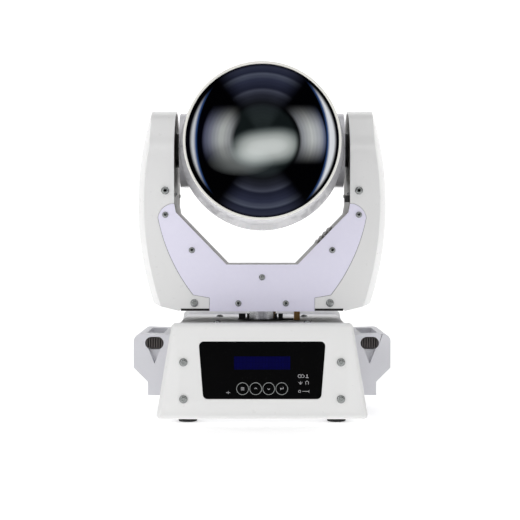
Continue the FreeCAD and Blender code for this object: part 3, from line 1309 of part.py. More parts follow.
def make_beam_parts():
    make_wheel("colour_wheel", "colour_wheel_y", "-wheel_offset", 9)
    make_wheel("gobo_wheel", "gobo_wheel_y", "wheel_offset", 10)
    for label, side, y in (("left_shutter_blade", -1, "shutter_front_y"),
                           ("right_shutter_blade", 1, "shutter_front_y + shutter_step")):
        x = f"{side} * shutter_x"
        top = f"{TILT_Z} + shutter_rise"
        blade = box(f"{label}_flag", (f"{x} - shutter_half", f"{x} + shutter_half"), (y, f"{y} + shutter_wall"),
                    (f"{top} - shutter_length", f"{top} + shutter_half"))
        collar_back = f"{y} + shutter_wall + shutter_collar_height"
        collar = rod(f"{label}_collar", "wheel_pin + shutter_collar", "y", (y, collar_back), (x, top))
        bore = rod(f"{label}_bore", "wheel_pin + run_clearance", "y",
                   (f"{y} - over", f"{collar_back} + over"), (x, top))
        node(label, cut(f"{label}_cut", fuse(f"{label}_solid", blade, collar), bore))
    plate = box("carriage_plate", ("-carriage_half_x", "carriage_half_x"),
                ("carriage_y", "carriage_y + carriage_wall"),
                (f"{TILT_Z} - carriage_half_z", f"{TILT_Z} + carriage_half_z"))
    over = ("carriage_y - over", "carriage_y + carriage_wall + over")
    cuts = [rod("carriage_mouth", "focus_radius", "y", over, ("0", TILT_Z))]
    cuts += [rod(f"carriage_bush_{word}", "rail_radius + run_clearance", "y", over, (f"{side} * rail_x", TILT_Z))
             for word, side in (("left", -1), ("right", 1))]
    node("focus_carriage", cut("carriage_cut", plate, *cuts))
    bulge = "((focus_radius ^ 2 + focus_bulge ^ 2) / (2 * focus_bulge))"
    front = "carriage_y + over"
    back = "carriage_y + carriage_wall - over"
    lens = [("0", f"{front} - focus_bulge", bulge), ("focus_radius", front), ("focus_radius", back, bulge),
            ("0", f"{back} + focus_bulge")]
    node("focus_lens", turned("focus_glass", lens, height=TILT_Z))


def check_and_write():
    doc.recompute()
    for thing in doc.Objects:
        if "Invalid" in thing.State or "Error" in thing.State:
            raise RuntimeError(f"{thing.Label} failed: {thing.State}")
    for label, thing in NODES.items():
        if thing.Shape.isNull() or not thing.Shape.isValid() or not thing.Shape.Solids:
            raise RuntimeError(f"{label} has no sound shape")
    os.makedirs("parts", exist_ok=True)
    for label, thing in NODES.items():
        thing.Shape.exportStep(f"parts/{label}.step")


make_base()
make_rear_fittings()
make_handle("left_handle", -1)
make_handle("right_handle", 1)
make_panel()
make_electrics()
make_pan_column()
make_yoke_plates()
make_arm_cover("left_arm_cover", -1)
make_arm_cover("right_arm_cover", 1)
make_yoke_frame()
make_bearings()
make_pan_drive()
make_tilt_drive()
make_head_shells()
make_front_glass()
make_chassis()
make_hubs()
make_lamp()
make_rear_fan()
make_beam_parts()
check_and_write()
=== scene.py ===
"""Looks of a moving head light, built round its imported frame.

Lengths are metres. +X is to the right of somebody facing the display, -Y towards them, +Z up.
"""
import json
import math

import bmesh
import bpy
from bpy.props import FloatProperty, FloatVectorProperty, IntProperty, PointerProperty
from mathutils import Matrix, Vector


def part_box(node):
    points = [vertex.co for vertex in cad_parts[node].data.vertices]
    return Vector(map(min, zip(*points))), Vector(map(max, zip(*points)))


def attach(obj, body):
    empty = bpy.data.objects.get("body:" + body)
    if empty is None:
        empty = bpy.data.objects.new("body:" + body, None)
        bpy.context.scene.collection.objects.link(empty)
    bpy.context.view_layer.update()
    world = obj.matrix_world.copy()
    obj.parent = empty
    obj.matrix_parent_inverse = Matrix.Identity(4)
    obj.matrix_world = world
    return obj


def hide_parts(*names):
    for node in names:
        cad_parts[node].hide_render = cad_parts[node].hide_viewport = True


bl_info = {
    "name": "Moving Head Light",
    "version": (1, 0, 0),
    "blender": (4, 5, 0),
    "location": "View3D > Sidebar > Moving Head",
    "description": "Builds the casings, lens, keys, screws and finishes of a moving head light",
    "category": "Object",
}

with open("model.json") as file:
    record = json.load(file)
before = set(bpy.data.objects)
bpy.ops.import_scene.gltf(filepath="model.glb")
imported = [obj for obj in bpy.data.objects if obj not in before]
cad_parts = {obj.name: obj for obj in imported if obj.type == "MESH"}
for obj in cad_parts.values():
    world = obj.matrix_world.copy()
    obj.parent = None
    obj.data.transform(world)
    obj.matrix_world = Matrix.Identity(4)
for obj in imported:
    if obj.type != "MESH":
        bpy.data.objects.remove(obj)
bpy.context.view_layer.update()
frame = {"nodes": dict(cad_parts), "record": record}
MM = 0.001
FULL_TURN = 2 * math.pi
WELD = 0.005 * MM  # points nearer than this become one
FINE_WELD = 0.002 * MM
FLAT = math.radians(0.6)  # faces turned less than this from each other are one face
SHARP = math.radians(32)  # edges bent more than this stay crisp
KEY_SHARP = math.radians(40)
SCREW_SHARP = math.radians(50)
ROUND = 0.5  # bevel profile of a round edge


def span(node):
    """Lowest and highest corner of a frame node, as vectors."""
    low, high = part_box(node)
    return Vector(low), Vector(high)


def middle(node):
    """Centre of a frame node's box."""
    low, high = span(node)
    return (low + high) / 2


LENS_LOW, LENS_HIGH = span("front_lens")
LENS_RADIUS = (LENS_HIGH.x - LENS_LOW.x) / 2
HEAD_Z = (LENS_LOW.z + LENS_HIGH.z) / 2
PANEL_FACE = span("display_panel")[0].y
FLOOR_Z = span("base_feet")[0].z


# ---- settings a user would change ----

class LightSettings(bpy.types.PropertyGroup):
    """Colours and small sizes of the moving head light."""

    cover_colour: FloatVectorProperty(
        name="Cover", description="Colour of the white moulded covers", subtype="COLOR",
        size=3, min=0, max=1, default=(0.86, 0.86, 0.855))
    sheet_colour: FloatVectorProperty(
        name="Sheet", description="Colour of the powder-coated base sheet", subtype="COLOR",
        size=3, min=0, max=1, default=(0.78, 0.78, 0.79))
    # the head's colour is darker than the covers' partly to paint the shade under the head
    head_colour_with_painted_shade: FloatVectorProperty(
        name="Head", description="Colour of the head's shells", subtype="COLOR",
        size=3, min=0, max=1, default=(0.64, 0.635, 0.668))
    plate_colour: FloatVectorProperty(
        name="Yoke plate", description="Colour of the satin yoke plates", subtype="COLOR",
        size=3, min=0, max=1, default=(0.87, 0.85, 1.0))
    skin_colour: FloatVectorProperty(
        name="Yoke skin", description="Colour of the folded inner skin of the yoke", subtype="COLOR",
        size=3, min=0, max=1, default=(0.16, 0.148, 0.135))
    grip_colour: FloatVectorProperty(
        name="Grip", description="Colour of the side grips", subtype="COLOR",
        size=3, min=0, max=1, default=(0.74, 0.74, 0.78))
    casing_round: FloatProperty(
        name="Casing edge", description="Rounding of the casing edges", unit="LENGTH", min=0,
        default=1.4 * MM)
    key_ring: FloatProperty(
        name="Key ring", description="Width of the bright ring round each key", unit="LENGTH", min=0,
        default=0.9 * MM)
    round_steps: IntProperty(
        name="Round steps", description="Steps in a full turn of the fine round pieces", min=12, default=48)
    lamp_power: FloatProperty(
        name="Studio light", description="Power of the left softbox", unit="POWER", min=0, default=8)
    world_light: FloatProperty(
        name="Room light", description="Strength of the even light from all round", min=0, default=0.22)


def settings():
    return bpy.context.scene.moving_head


# ---- materials ----

class Finish:
    """A node material under construction, with short calls for its usual parts."""

    def __init__(self, name, colour, roughness, metallic=0.0):
        self.material = bpy.data.materials.new(name)
        self.material.use_nodes = True
        self.nodes = self.material.node_tree.nodes
        self.links = self.material.node_tree.links
        self.shader = self.nodes["Principled BSDF"]
        self.shader.inputs["Base Color"].default_value = (*colour, 1)
        self.shader.inputs["Roughness"].default_value = roughness
        self.shader.inputs["Metallic"].default_value = metallic
        self.colour = colour
        self.place = self.nodes.new("ShaderNodeTexCoord").outputs["Object"]
        self.normal = None

    def set(self, **values):
        for name, value in values.items():
            self.shader.inputs[name.replace("_", " ").title().replace("Ior", "IOR")].default_value = value
        return self

    def mapped(self, scale=(1, 1, 1), location=(0, 0, 0)):
        node = self.nodes.new("ShaderNodeMapping")
        node.inputs["Scale"].default_value = scale
        node.inputs["Location"].default_value = location
        self.links.new(self.place, node.inputs["Vector"])
        return node.outputs["Vector"]

    def noise(self, scale, detail=3.0, stretch=(1, 1, 1)):
        node = self.nodes.new("ShaderNodeTexNoise")
        node.inputs["Scale"].default_value = scale
        node.inputs["Detail"].default_value = detail
        self.links.new(self.mapped(stretch), node.inputs["Vector"])
        return node.outputs["Fac"]

    def ramp(self, value, stops, blend="LINEAR"):
        """A colour ramp; each stop is (position, colour)."""
        node = self.nodes.new("ShaderNodeValToRGB")
        ramp = node.color_ramp
        ramp.interpolation = blend
        while len(ramp.elements) < len(stops):
            ramp.elements.new(0.5)
        for element, (position, colour) in zip(ramp.elements, stops):
            element.position = position
            element.color = (*colour, 1)
        self.links.new(value, node.inputs["Fac"])
        return node.outputs["Color"]

    def range(self, value, low, high, from_low=0.2, from_high=0.8, smooth=False):
        node = self.nodes.new("ShaderNodeMapRange")
        node.interpolation_type = "SMOOTHSTEP" if smooth else "LINEAR"
        sockets = {"From Min": from_low, "From Max": from_high, "To Min": low, "To Max": high}
        for name, number in sockets.items():
            node.inputs[name].default_value = number
        self.links.new(value, node.inputs["Value"])
        return node.outputs["Result"]

    def math(self, kind, first, second=None, clamp=False):
        node = self.nodes.new("ShaderNodeMath")
        node.operation = kind
        node.use_clamp = clamp
        for socket, value in zip(node.inputs, (first, second)):
            if value is None:
                continue
            if isinstance(value, (int, float)):
                socket.default_value = value
            else:
                self.links.new(value, socket)
        return node.outputs[0]

    def mix(self, amount, first, second, blend="MIX"):
        node = self.nodes.new("ShaderNodeMix")
        node.data_type = "RGBA"
        node.blend_type = blend
        for socket, value in ((node.inputs[0], amount), (node.inputs[6], first), (node.inputs[7], second)):
            if isinstance(value, tuple):
                socket.default_value = (*value, 1)
            elif isinstance(value, (int, float)):
                socket.default_value = value
            else:
                self.links.new(value, socket)
        return node.outputs[2]

    def add(self, first, second):
        """Two colours added together."""
        return self.mix(1.0, first, second, "ADD")

    def shade(self, amount, scale, detail=4.0, stretch=(1, 1, 1)):
        """Let the colour drift a little between darker and lighter."""
        dark = tuple(part * (1 - amount) for part in self.colour)
        light = tuple(min(1, part * (1 + amount * 0.5)) for part in self.colour)
        colour = self.ramp(self.noise(scale, detail, stretch), [(0.2, dark), (0.8, light)])
        self.links.new(colour, self.shader.inputs["Base Color"])
        return self

    def uneven_gloss(self, low, high, scale, stretch=(1, 1, 1)):
        roughness = self.range(self.noise(scale, 5.0, stretch), low, high)
        self.links.new(roughness, self.shader.inputs["Roughness"])
        return self

    def bump(self, height, strength, distance):
        node = self.nodes.new("ShaderNodeBump")
        node.inputs["Strength"].default_value = strength
        node.inputs["Distance"].default_value = distance
        self.links.new(height, node.inputs["Height"])
        if self.normal:
            self.links.new(self.normal, node.inputs["Normal"])
        self.normal = node.outputs["Normal"]
        self.links.new(self.normal, self.shader.inputs["Normal"])
        return self

    def grain(self, scale, strength, distance=0.0002, detail=2.0, stretch=(1, 1, 1)):
        return self.bump(self.noise(scale, detail, stretch), strength, distance)


def gloss_cover():
    """Smooth white moulding with a faint orange-peel skin."""
    finish = Finish("gloss_cover", settings().cover_colour, 0.28)
    finish.set(coat_weight=0.35, coat_roughness=0.12)
    finish.shade(0.004, 220, 1.0).uneven_gloss(0.27, 0.29, 160)
    return finish.grain(900, 0.02, 0.00004).material


def head_cover_painted_shade():
    """The head's shells: a cooler, slightly greyer white than the yoke's covers, darkened further to paint the
    shade under the head.
    """
    finish = Finish("head_cover_painted_shade", settings().head_colour_with_painted_shade, 0.26)
    finish.set(coat_weight=0.35, coat_roughness=0.12)
    finish.shade(0.004, 220, 1.0).uneven_gloss(0.25, 0.27, 160)
    return finish.grain(900, 0.02, 0.00004).material


def cream_ring():
    """Warm white paint on the ring that holds the front lens."""
    finish = Finish("cream_ring", (0.88, 0.87, 0.82), 0.24)
    finish.set(coat_weight=0.4, coat_roughness=0.08)
    finish.shade(0.004, 220, 1.0).uneven_gloss(0.22, 0.26, 160)
    return finish.grain(600, 0.1, 0.00006).material


def powder_sheet():
    """Powder-coated sheet: matt, with a fine pebbled skin."""
    finish = Finish("powder_sheet", settings().sheet_colour, 0.5)
    finish.shade(0.03, 14).uneven_gloss(0.42, 0.58, 40)
    return finish.grain(900, 0.22, 0.0001).grain(250, 0.08).material


def lavender_plate():
    """Satin paint on the flat yoke plates."""
    finish = Finish("lavender_plate", settings().plate_colour, 0.4)
    finish.shade(0.015, 240, 2.0).uneven_gloss(0.36, 0.44, 200)
    return finish.grain(700, 0.1, 0.0001).material


def yoke_skin():
    """Dark warm grey paint on folded metal, rubbed a little thin in places."""
    finish = Finish("yoke_skin", settings().skin_colour, 0.42, 0.15)
    finish.shade(0.22, 30).uneven_gloss(0.32, 0.55, 60)
    return finish.grain(800, 0.2, 0.0001).material


def grip_moulding():
    """Pale moulding with a fine spark texture for the hands."""
    finish = Finish("grip_moulding", settings().grip_colour, 0.46)
    finish.shade(0.03, 22).uneven_gloss(0.4, 0.56, 50)
    return finish.grain(1100, 0.3, 0.0001).grain(160, 0.05).material


def black_acrylic():
    """Polished black sheet that hardly mirrors what stands in front of it."""
    finish = Finish("black_acrylic", (0.0008, 0.0008, 0.001), 0.14)
    finish.set(specular_ior_level=0.03)
    return finish.uneven_gloss(0.12, 0.22, 30).grain(90, 0.015).material


def display_glass():
    """Unlit blue display: dark glass over rows of faint character cells."""
    finish = Finish("display_glass", (0.001, 0.001, 0.05), 0.18)
    finish.set(specular_ior_level=0.03)
    cells = finish.nodes.new("ShaderNodeTexBrick")
    cells.offset = 0
    sockets = {
        "Color1": (0.0004, 0.0004, 0.04, 1), "Color2": (0.0005, 0.0005, 0.046, 1),
        "Mortar": (0.0002, 0.0002, 0.03, 1),
        "Scale": 1, "Mortar Size": 0.3 * MM, "Brick Width": 3.7 * MM, "Row Height": 6.6 * MM,
    }
    for name, value in sockets.items():
        cells.inputs[name].default_value = value
    turn = finish.nodes.new("ShaderNodeMapping")
    turn.inputs["Rotation"].default_value = (math.pi / 2, 0, 0)
    finish.links.new(finish.place, turn.inputs["Vector"])
    finish.links.new(turn.outputs["Vector"], cells.inputs["Vector"])
    finish.links.new(cells.outputs["Color"], finish.shader.inputs["Base Color"])
    return finish.material


def bright_screw():
    finish = Finish("bright_screw", (0.33, 0.345, 0.34), 0.24, 1.0)
    finish.shade(0.12, 400).uneven_gloss(0.16, 0.36, 500)
    return finish.grain(1500, 0.12, 0.00005).material


def machined_steel():
    finish = Finish("machined_steel", (0.58, 0.58, 0.6), 0.22, 1.0)
    finish.shade(0.08, 90, stretch=(1, 1, 14)).uneven_gloss(0.14, 0.3, 120, (1, 1, 10))
    return finish.grain(700, 0.1, 0.00005, stretch=(1, 1, 16)).material


def aluminium_part():
    finish = Finish("aluminium_part", (0.7, 0.7, 0.71), 0.36, 1.0)
    finish.shade(0.06, 60, stretch=(1, 12, 1)).uneven_gloss(0.28, 0.44, 90, (1, 10, 1))
    return finish.grain(500, 0.12, 0.00008, stretch=(1, 14, 1)).material


def black_part():
    finish = Finish("black_part", (0.014, 0.014, 0.015), 0.45, 0.2)
    finish.shade(0.2, 60).uneven_gloss(0.36, 0.56, 80)
    return finish.grain(900, 0.18, 0.0001).material


def black_moulding():
    finish = Finish("black_moulding", (0.016, 0.016, 0.017), 0.5)
    finish.shade(0.2, 70).uneven_gloss(0.42, 0.6, 90)
    return finish.grain(1000, 0.24, 0.0001).material


def foot_rubber():
    finish = Finish("foot_rubber", (0.012, 0.012, 0.012), 0.75)
    finish.shade(0.3, 90).uneven_gloss(0.65, 0.85, 120)
    return finish.grain(600, 0.35, 0.0002).material


def blue_moulding():
    finish = Finish("blue_moulding", (0.02, 0.07, 0.34), 0.38)
    finish.shade(0.08, 60).uneven_gloss(0.3, 0.46, 80)
    return finish.grain(900, 0.18, 0.0001).material


def circuit_board():
    finish = Finish("circuit_board", (0.01, 0.09, 0.035), 0.4)
    return finish.shade(0.25, 260, 1.0).uneven_gloss(0.3, 0.5, 200).grain(500, 0.2, 0.0001).material


def dull_brass():
    finish = Finish("dull_brass", (0.42, 0.24, 0.09), 0.38, 0.9)
    return finish.shade(0.3, 80).uneven_gloss(0.28, 0.5, 120).grain(400, 0.15, 0.0001).material


def silver_mirror():
    finish = Finish("silver_mirror", (0.9, 0.9, 0.91), 0.06, 1.0)
    return finish.uneven_gloss(0.04, 0.1, 60).grain(120, 0.03, 0.0002).material


def filter_glass():
    """Dichroic segments: the colour changes round the wheel."""
    finish = Finish("filter_glass", (0.4, 0.3, 0.7), 0.12)
    finish.set(coat_weight=0.5, coat_roughness=0.05)
    turn = finish.nodes.new("ShaderNodeTexGradient")
    turn.gradient_type = "RADIAL"
    place = finish.nodes.new("ShaderNodeMapping")
    centre = middle("colour_wheel")
    place.inputs["Rotation"].default_value = (math.pi / 2, 0, 0)
    place.inputs["Location"].default_value = (-centre.x, centre.z, 0)
    finish.links.new(finish.place, place.inputs["Vector"])
    finish.links.new(place.outputs["Vector"], turn.inputs["Vector"])
    tints = ((0.8, 0.05, 0.03), (0.9, 0.4, 0.02), (0.85, 0.8, 0.1), (0.05, 0.5, 0.1), (0.02, 0.35, 0.6),
             (0.05, 0.08, 0.7), (0.35, 0.05, 0.6), (0.75, 0.1, 0.4))
    stops = [(index / len(tints), tint) for index, tint in enumerate(tints)]
    finish.links.new(finish.ramp(turn.outputs["Color"], stops), finish.shader.inputs["Base Color"])
    return finish.grain(200, 0.03).material


def clear_quartz():
    finish = Finish("clear_quartz", (0.8, 0.82, 0.84), 0.12)
    finish.set(coat_weight=0.6, coat_roughness=0.05)
    return finish.shade(0.06, 70).uneven_gloss(0.08, 0.18, 80).material


def inner_glass():
    finish = Finish("inner_glass", (0.03, 0.035, 0.05), 0.06)
    finish.set(coat_weight=0.8, coat_roughness=0.03)
    return finish.shade(0.3, 30).grain(60, 0.02).material


def symbol_print():
    finish = Finish("symbol_print", (0.6, 0.6, 0.62), 0.5)
    return finish.shade(0.06, 300).grain(900, 0.1, 0.00005).material


# painted reflections on the front lens: share of its radius, then colour
DARK = (0, 0, 0)
LENS_EDGE = (0, 0, 0.002)
FAN_GAP = (0.0002, 0.0002, 0.0006)
RIGHT_FAN_REFLECTION = [
    (0.0, DARK), (0.485, DARK), (0.525, (0.25, 0.262, 0.285)), (0.65, (0.5, 0.52, 0.515)),
    (0.76, (0.36, 0.38, 0.42)), (0.82, (0.1, 0.12, 0.2)), (0.84, LENS_EDGE), (1.0, LENS_EDGE)]
LEFT_FAN_REFLECTION = [
    (0.0, DARK), (0.36, DARK), (0.43, (0.27, 0.28, 0.29)), (0.54, (0.42, 0.44, 0.43)),
    (0.69, (0.15, 0.16, 0.215)), (0.76, (0.06, 0.065, 0.11)), (0.79, LENS_EDGE), (1.0, LENS_EDGE)]
TALL_FAN_REFLECTION = [
    (0.0, DARK), (0.3, (0.012, 0.015, 0.016)), (0.5, (0.008, 0.009, 0.012)), (0.6, (0.02, 0.022, 0.034)),
    (0.66, (0.05, 0.055, 0.08)), (0.69, (0.012, 0.014, 0.028)), (0.8, (0.026, 0.03, 0.056)),
    (0.87, (0.07, 0.08, 0.115)), (0.9, (0.016, 0.019, 0.038)), (0.96, (0.03, 0.034, 0.06)), (1.0, LENS_EDGE)]
TALL_FAN_SPREAD = (0.79, 0.97)  # upward share of the direction where it fades in
FAN_RISE = 0.08  # height of the side fans' middle over the lens axis
FAN_FADE = (0.04, 0.4)
FAN_START = (0.25, 0.45)
RING_REFLECTION_RANGE = (0.95, 1.03)
# painted highlights: two bright crescents near the lens rim
CRESCENT_HIGHLIGHTS = ((1, 0.85, 0.975, 0.75), (-1, 0.86, 0.955, 0.55))  # side, inner and outer radius, strength
CRESCENT_BEND = 0.3
CRESCENT_FADE = 0.045
FRINGE = (0.03, 0.07, 0.2)
# painted reflection: a soft central bar of light, a dimmer trail and a faint haze
GLOW_REFLECTION = [
    (0.0, (0.62, 0.65, 0.635)), (0.15, (0.47, 0.5, 0.485)), (0.45, (0.14, 0.16, 0.155)),
    (0.72, (0.025, 0.03, 0.03)), (0.9, DARK), (1.0, DARK)]
TRAIL_REFLECTION = [(0.0, (0.14, 0.15, 0.148)), (0.4, (0.06, 0.065, 0.065)), (0.85, DARK), (1.0, DARK)]
HAZE_REFLECTION = (0.006, 0.009, 0.009)
GLOW_PLACE = (0.05, -0.09)
GLOW_LEAN = 0.1
GLOW_TIGHT = (1.9, 3.5)  # along and athwart: a larger number is a shorter glow
TRAIL_PLACE = (-0.28, -0.27)
TRAIL_TIGHT = (2.2, 5.0)
INNER_DISC = (0.42, 0.5)


def lens_polar(finish):
    """Across and up from the lens axis, and the distance from it, all as shares of the lens radius."""
    parts = finish.nodes.new("ShaderNodeSeparateXYZ")
    centred = finish.mapped((1 / LENS_RADIUS,) * 3, (0, 0, -HEAD_Z / LENS_RADIUS))
    finish.links.new(centred, parts.inputs["Vector"])
    across, up = parts.outputs["X"], parts.outputs["Z"]
    square = finish.math("ADD", finish.math("MULTIPLY", across, across), finish.math("MULTIPLY", up, up))
    radius = finish.math("MAXIMUM", finish.math("SQRT", square), 0.0001)
    return across, up, radius


def painted_fan_reflections(finish, across, up, radius):
    """Painted reflections: grey fans to both sides and dim blue ones above and below, finely ringed."""
    tall = finish.math("DIVIDE", finish.math("ABSOLUTE", up), radius)
    tall_part = finish.range(tall, 0, 1, *TALL_FAN_SPREAD, True)
    fans = finish.mix(tall_part, FAN_GAP, finish.ramp(radius, TALL_FAN_REFLECTION))
    off_middle = finish.math("ABSOLUTE", finish.math("SUBTRACT", up, FAN_RISE))
    level = finish.range(off_middle, 1, 0, *FAN_FADE, True)
    for side, bands in ((1, RIGHT_FAN_REFLECTION), (-1, LEFT_FAN_REFLECTION)):
        beside = finish.range(across, 0, 1, side * FAN_START[0], side * FAN_START[1], True)
        part = finish.math("MULTIPLY", level, beside)
        fans = finish.add(fans, finish.mix(part, DARK, finish.ramp(radius, bands)))
    rings = finish.nodes.new("ShaderNodeTexWave")
    rings.wave_type = "RINGS"
    rings.rings_direction = "SPHERICAL"
    rings.inputs["Scale"].default_value = 7
    rings.inputs["Distortion"].default_value = 0.6
    flat = finish.mapped((1 / LENS_RADIUS, 0, 1 / LENS_RADIUS), (0, 0, -HEAD_Z / LENS_RADIUS))
    finish.links.new(flat, rings.inputs["Vector"])
    return finish.mix(1.0, fans, finish.range(rings.outputs["Fac"], *RING_REFLECTION_RANGE, 0, 1), "MULTIPLY")


def painted_crescent_highlight(finish, across, radius, side, inner, outer, strength):
    """A painted highlight: a bright crescent near the rim, which thins towards its ends."""
    sideways = finish.math("MULTIPLY", finish.math("DIVIDE", across, radius), side)
    bend = finish.math("MULTIPLY", finish.math("SUBTRACT", 1, sideways), CRESCENT_BEND)
    pale = (strength, strength * 1.03, strength * 1.08)
    edge = finish.ramp(finish.math("SUBTRACT", radius, bend), [
        (0.0, DARK), (inner - 0.015, DARK), (inner + 0.008, FRINGE), (inner + 0.035, pale), (1.0, pale)])
    return finish.mix(finish.range(radius, 1, 0, outer - CRESCENT_FADE, outer, True), DARK, edge)


def painted_glow_reflection(finish, across, up, radius):
    """A painted reflection: a soft bar of light in the middle, which leans up to the right and trails off to the
    left.
    """
    def spot(along, athwart, tight, power):
        long_way = finish.math("ABSOLUTE", finish.math("MULTIPLY", along, tight[0]))
        short_way = finish.math("MULTIPLY", athwart, tight[1])
        return finish.math("ADD", finish.math("POWER", long_way, power), finish.math("POWER", short_way, 2))

    along = finish.math("SUBTRACT", across, GLOW_PLACE[0])
    along = finish.math("ADD", along, finish.math("MULTIPLY", up, GLOW_LEAN))
    athwart = finish.math("SUBTRACT", up, GLOW_PLACE[1])
    athwart = finish.math("SUBTRACT", athwart, finish.math("MULTIPLY", across, GLOW_LEAN))
    glow = finish.ramp(spot(along, athwart, GLOW_TIGHT, 3), GLOW_REFLECTION, "B_SPLINE")
    aside = finish.math("SUBTRACT", across, TRAIL_PLACE[0])
    below = finish.math("SUBTRACT", up, TRAIL_PLACE[1])
    trail = finish.ramp(spot(aside, below, TRAIL_TIGHT, 2), TRAIL_REFLECTION, "B_SPLINE")
    disc = finish.range(radius, 1, 0, *INNER_DISC, True)
    return finish.add(finish.mix(disc, DARK, glow), finish.add(trail, finish.mix(disc, DARK, HAZE_REFLECTION)))


def lens_with_painted_reflections():
    """Dark coated glass with reflections painted into its colour: grey fans, rings, two bright crescents and a
    soft central glow.
    """
    finish = Finish("lens_with_painted_reflections", (0.002, 0.002, 0.004), 0.07)
    finish.set(specular_ior_level=0.015)
    across, up, radius = lens_polar(finish)
    painted_lens_pattern = painted_fan_reflections(finish, across, up, radius)
    for crescent in CRESCENT_HIGHLIGHTS:
        painted_lens_pattern = finish.add(painted_lens_pattern, painted_crescent_highlight(finish, across, radius, *crescent))
    painted_lens_pattern = finish.add(painted_lens_pattern, painted_glow_reflection(finish, across, up, radius))
    finish.links.new(painted_lens_pattern, finish.shader.inputs["Base Color"])
    return finish.material


def grip_recess_painted_shade():
    """Warm grey plastic in the hand-grip's end openings, darkened to paint the shade deep in the recesses."""
    finish = Finish("grip_recess_painted_shade", (0.13, 0.115, 0.11), 0.5)
    finish.shade(0.2, 60).uneven_gloss(0.42, 0.6, 80)
    return finish.grain(900, 0.2, 0.0001).material


MATERIALS = {}


def material_for(maker):
    """The material that a maker makes, made once."""
    if maker.__name__ not in MATERIALS:
        MATERIALS[maker.__name__] = maker()
    return MATERIALS[maker.__name__]


# ---- mesh helpers ----

def add_piece(name, mesh, maker, body, smooth=True):
    """Put a finished bmesh into the scene as a piece that rides on a body."""
    data = bpy.data.meshes.new(name)
    for face in mesh.faces:
        face.smooth = smooth
    mesh.to_mesh(data)
    mesh.free()
    data.materials.append(material_for(maker))
    piece = bpy.data.objects.new(name, data)
    bpy.context.scene.collection.objects.link(piece)
    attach(piece, body)
    return piece


def mark_sharp(mesh, angle=SHARP):
    """Keep the edges bent more than an angle crisp."""
    for edge in mesh.edges:
        edge.smooth = len(edge.link_faces) != 2 or edge.calc_face_angle(0) < angle


def round_off(piece, width, segments):
    """Round a piece's sharp edges with a live bevel."""
    bevel = piece.modifiers.new("edge_round", "BEVEL")
    bevel.width = width
    bevel.segments = segments
    bevel.limit_method = "ANGLE"
    bevel.angle_limit = SHARP
    bevel.profile = ROUND
    bevel.harden_normals = True
    bevel.use_clamp_overlap = True
    return piece


def welded(node):
    """A copy of a frame node's mesh with its loose triangles joined."""
    mesh = bmesh.new()
    mesh.from_mesh(frame["nodes"][node].data)
    bmesh.ops.remove_doubles(mesh, verts=mesh.verts, dist=WELD)
    return mesh


def body_of(node):
    """The body that a frame node rides on."""
    for body, nodes in frame["record"]["behaviour"]["bodies"].items():
        if node in nodes:
            return body
    raise ValueError(f"no body holds {node}")


def slot_of(node):
    """The material slot that the record gives a frame node."""
    return next(entry["material_slot"] for entry in frame["record"]["subparts"] if entry["node"] == node)


def soften(node, maker, width, segments=3):
    """Stand a round-edged copy in for a frame node."""
    mesh = welded(node)
    bmesh.ops.dissolve_limit(mesh, angle_limit=FLAT, verts=mesh.verts, edges=mesh.edges)
    mark_sharp(mesh)
    piece = add_piece(f"{node}_rounded", mesh, maker, body_of(node))
    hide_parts(node)
    return round_off(piece, width, segments)


def turn_profile(profile, steps, centre):
    """Spin a list of (radius, y) points about an axis along Y through the centre."""
    mesh = bmesh.new()
    verts = [mesh.verts.new((radius, y, 0)) for radius, y in profile]
    edges = [mesh.edges.new(pair) for pair in zip(verts, verts[1:])]
    bmesh.ops.spin(mesh, geom=verts + edges, cent=(0, 0, 0), axis=(0, 1, 0), angle=FULL_TURN, steps=steps,
                   use_merge=True, use_duplicate=False)
    bmesh.ops.remove_doubles(mesh, verts=mesh.verts, dist=FINE_WELD)
    bmesh.ops.recalc_face_normals(mesh, faces=mesh.faces)
    bmesh.ops.translate(mesh, vec=centre, verts=mesh.verts)
    return mesh


def gathered(meshes):
    """One bmesh with the contents of all the given ones, which are used up."""
    whole = bmesh.new()
    for mesh in meshes:
        data = bpy.data.meshes.new("joining")
        mesh.to_mesh(data)
        mesh.free()
        whole.from_mesh(data)
        bpy.data.meshes.remove(data)
    return whole


def block(low, high, bevel=0.0):
    """A box between two corners, with rounded edges where a bevel is given."""
    mesh = bmesh.new()
    bmesh.ops.create_cube(mesh, size=1)
    bmesh.ops.scale(mesh, vec=Vector(high) - Vector(low), verts=mesh.verts)
    bmesh.ops.translate(mesh, vec=(Vector(high) + Vector(low)) / 2, verts=mesh.verts)
    if bevel:
        bmesh.ops.bevel(mesh, geom=mesh.edges, offset=bevel, segments=2, profile=ROUND, affect="EDGES",
                        material=-1)
    return mesh


def new_verts(grown):
    """The vertices among what an operator has made."""
    return [item for item in grown if isinstance(item, bmesh.types.BMVert)]


# ---- screws ----

SCREW_STEPS = 36
SCREW_PROFILE = ((1, 0.3), (0.9, 0.68), (0.7, 0.92), (0.56, 1))  # shares of the head's radius and height
SOCKET_SHARE = 0.42
SOCKET_FLOOR = 0.66
HEAD_HEIGHT = 2.6 * MM
PLATE_HEAD_HEIGHT = 2.0 * MM


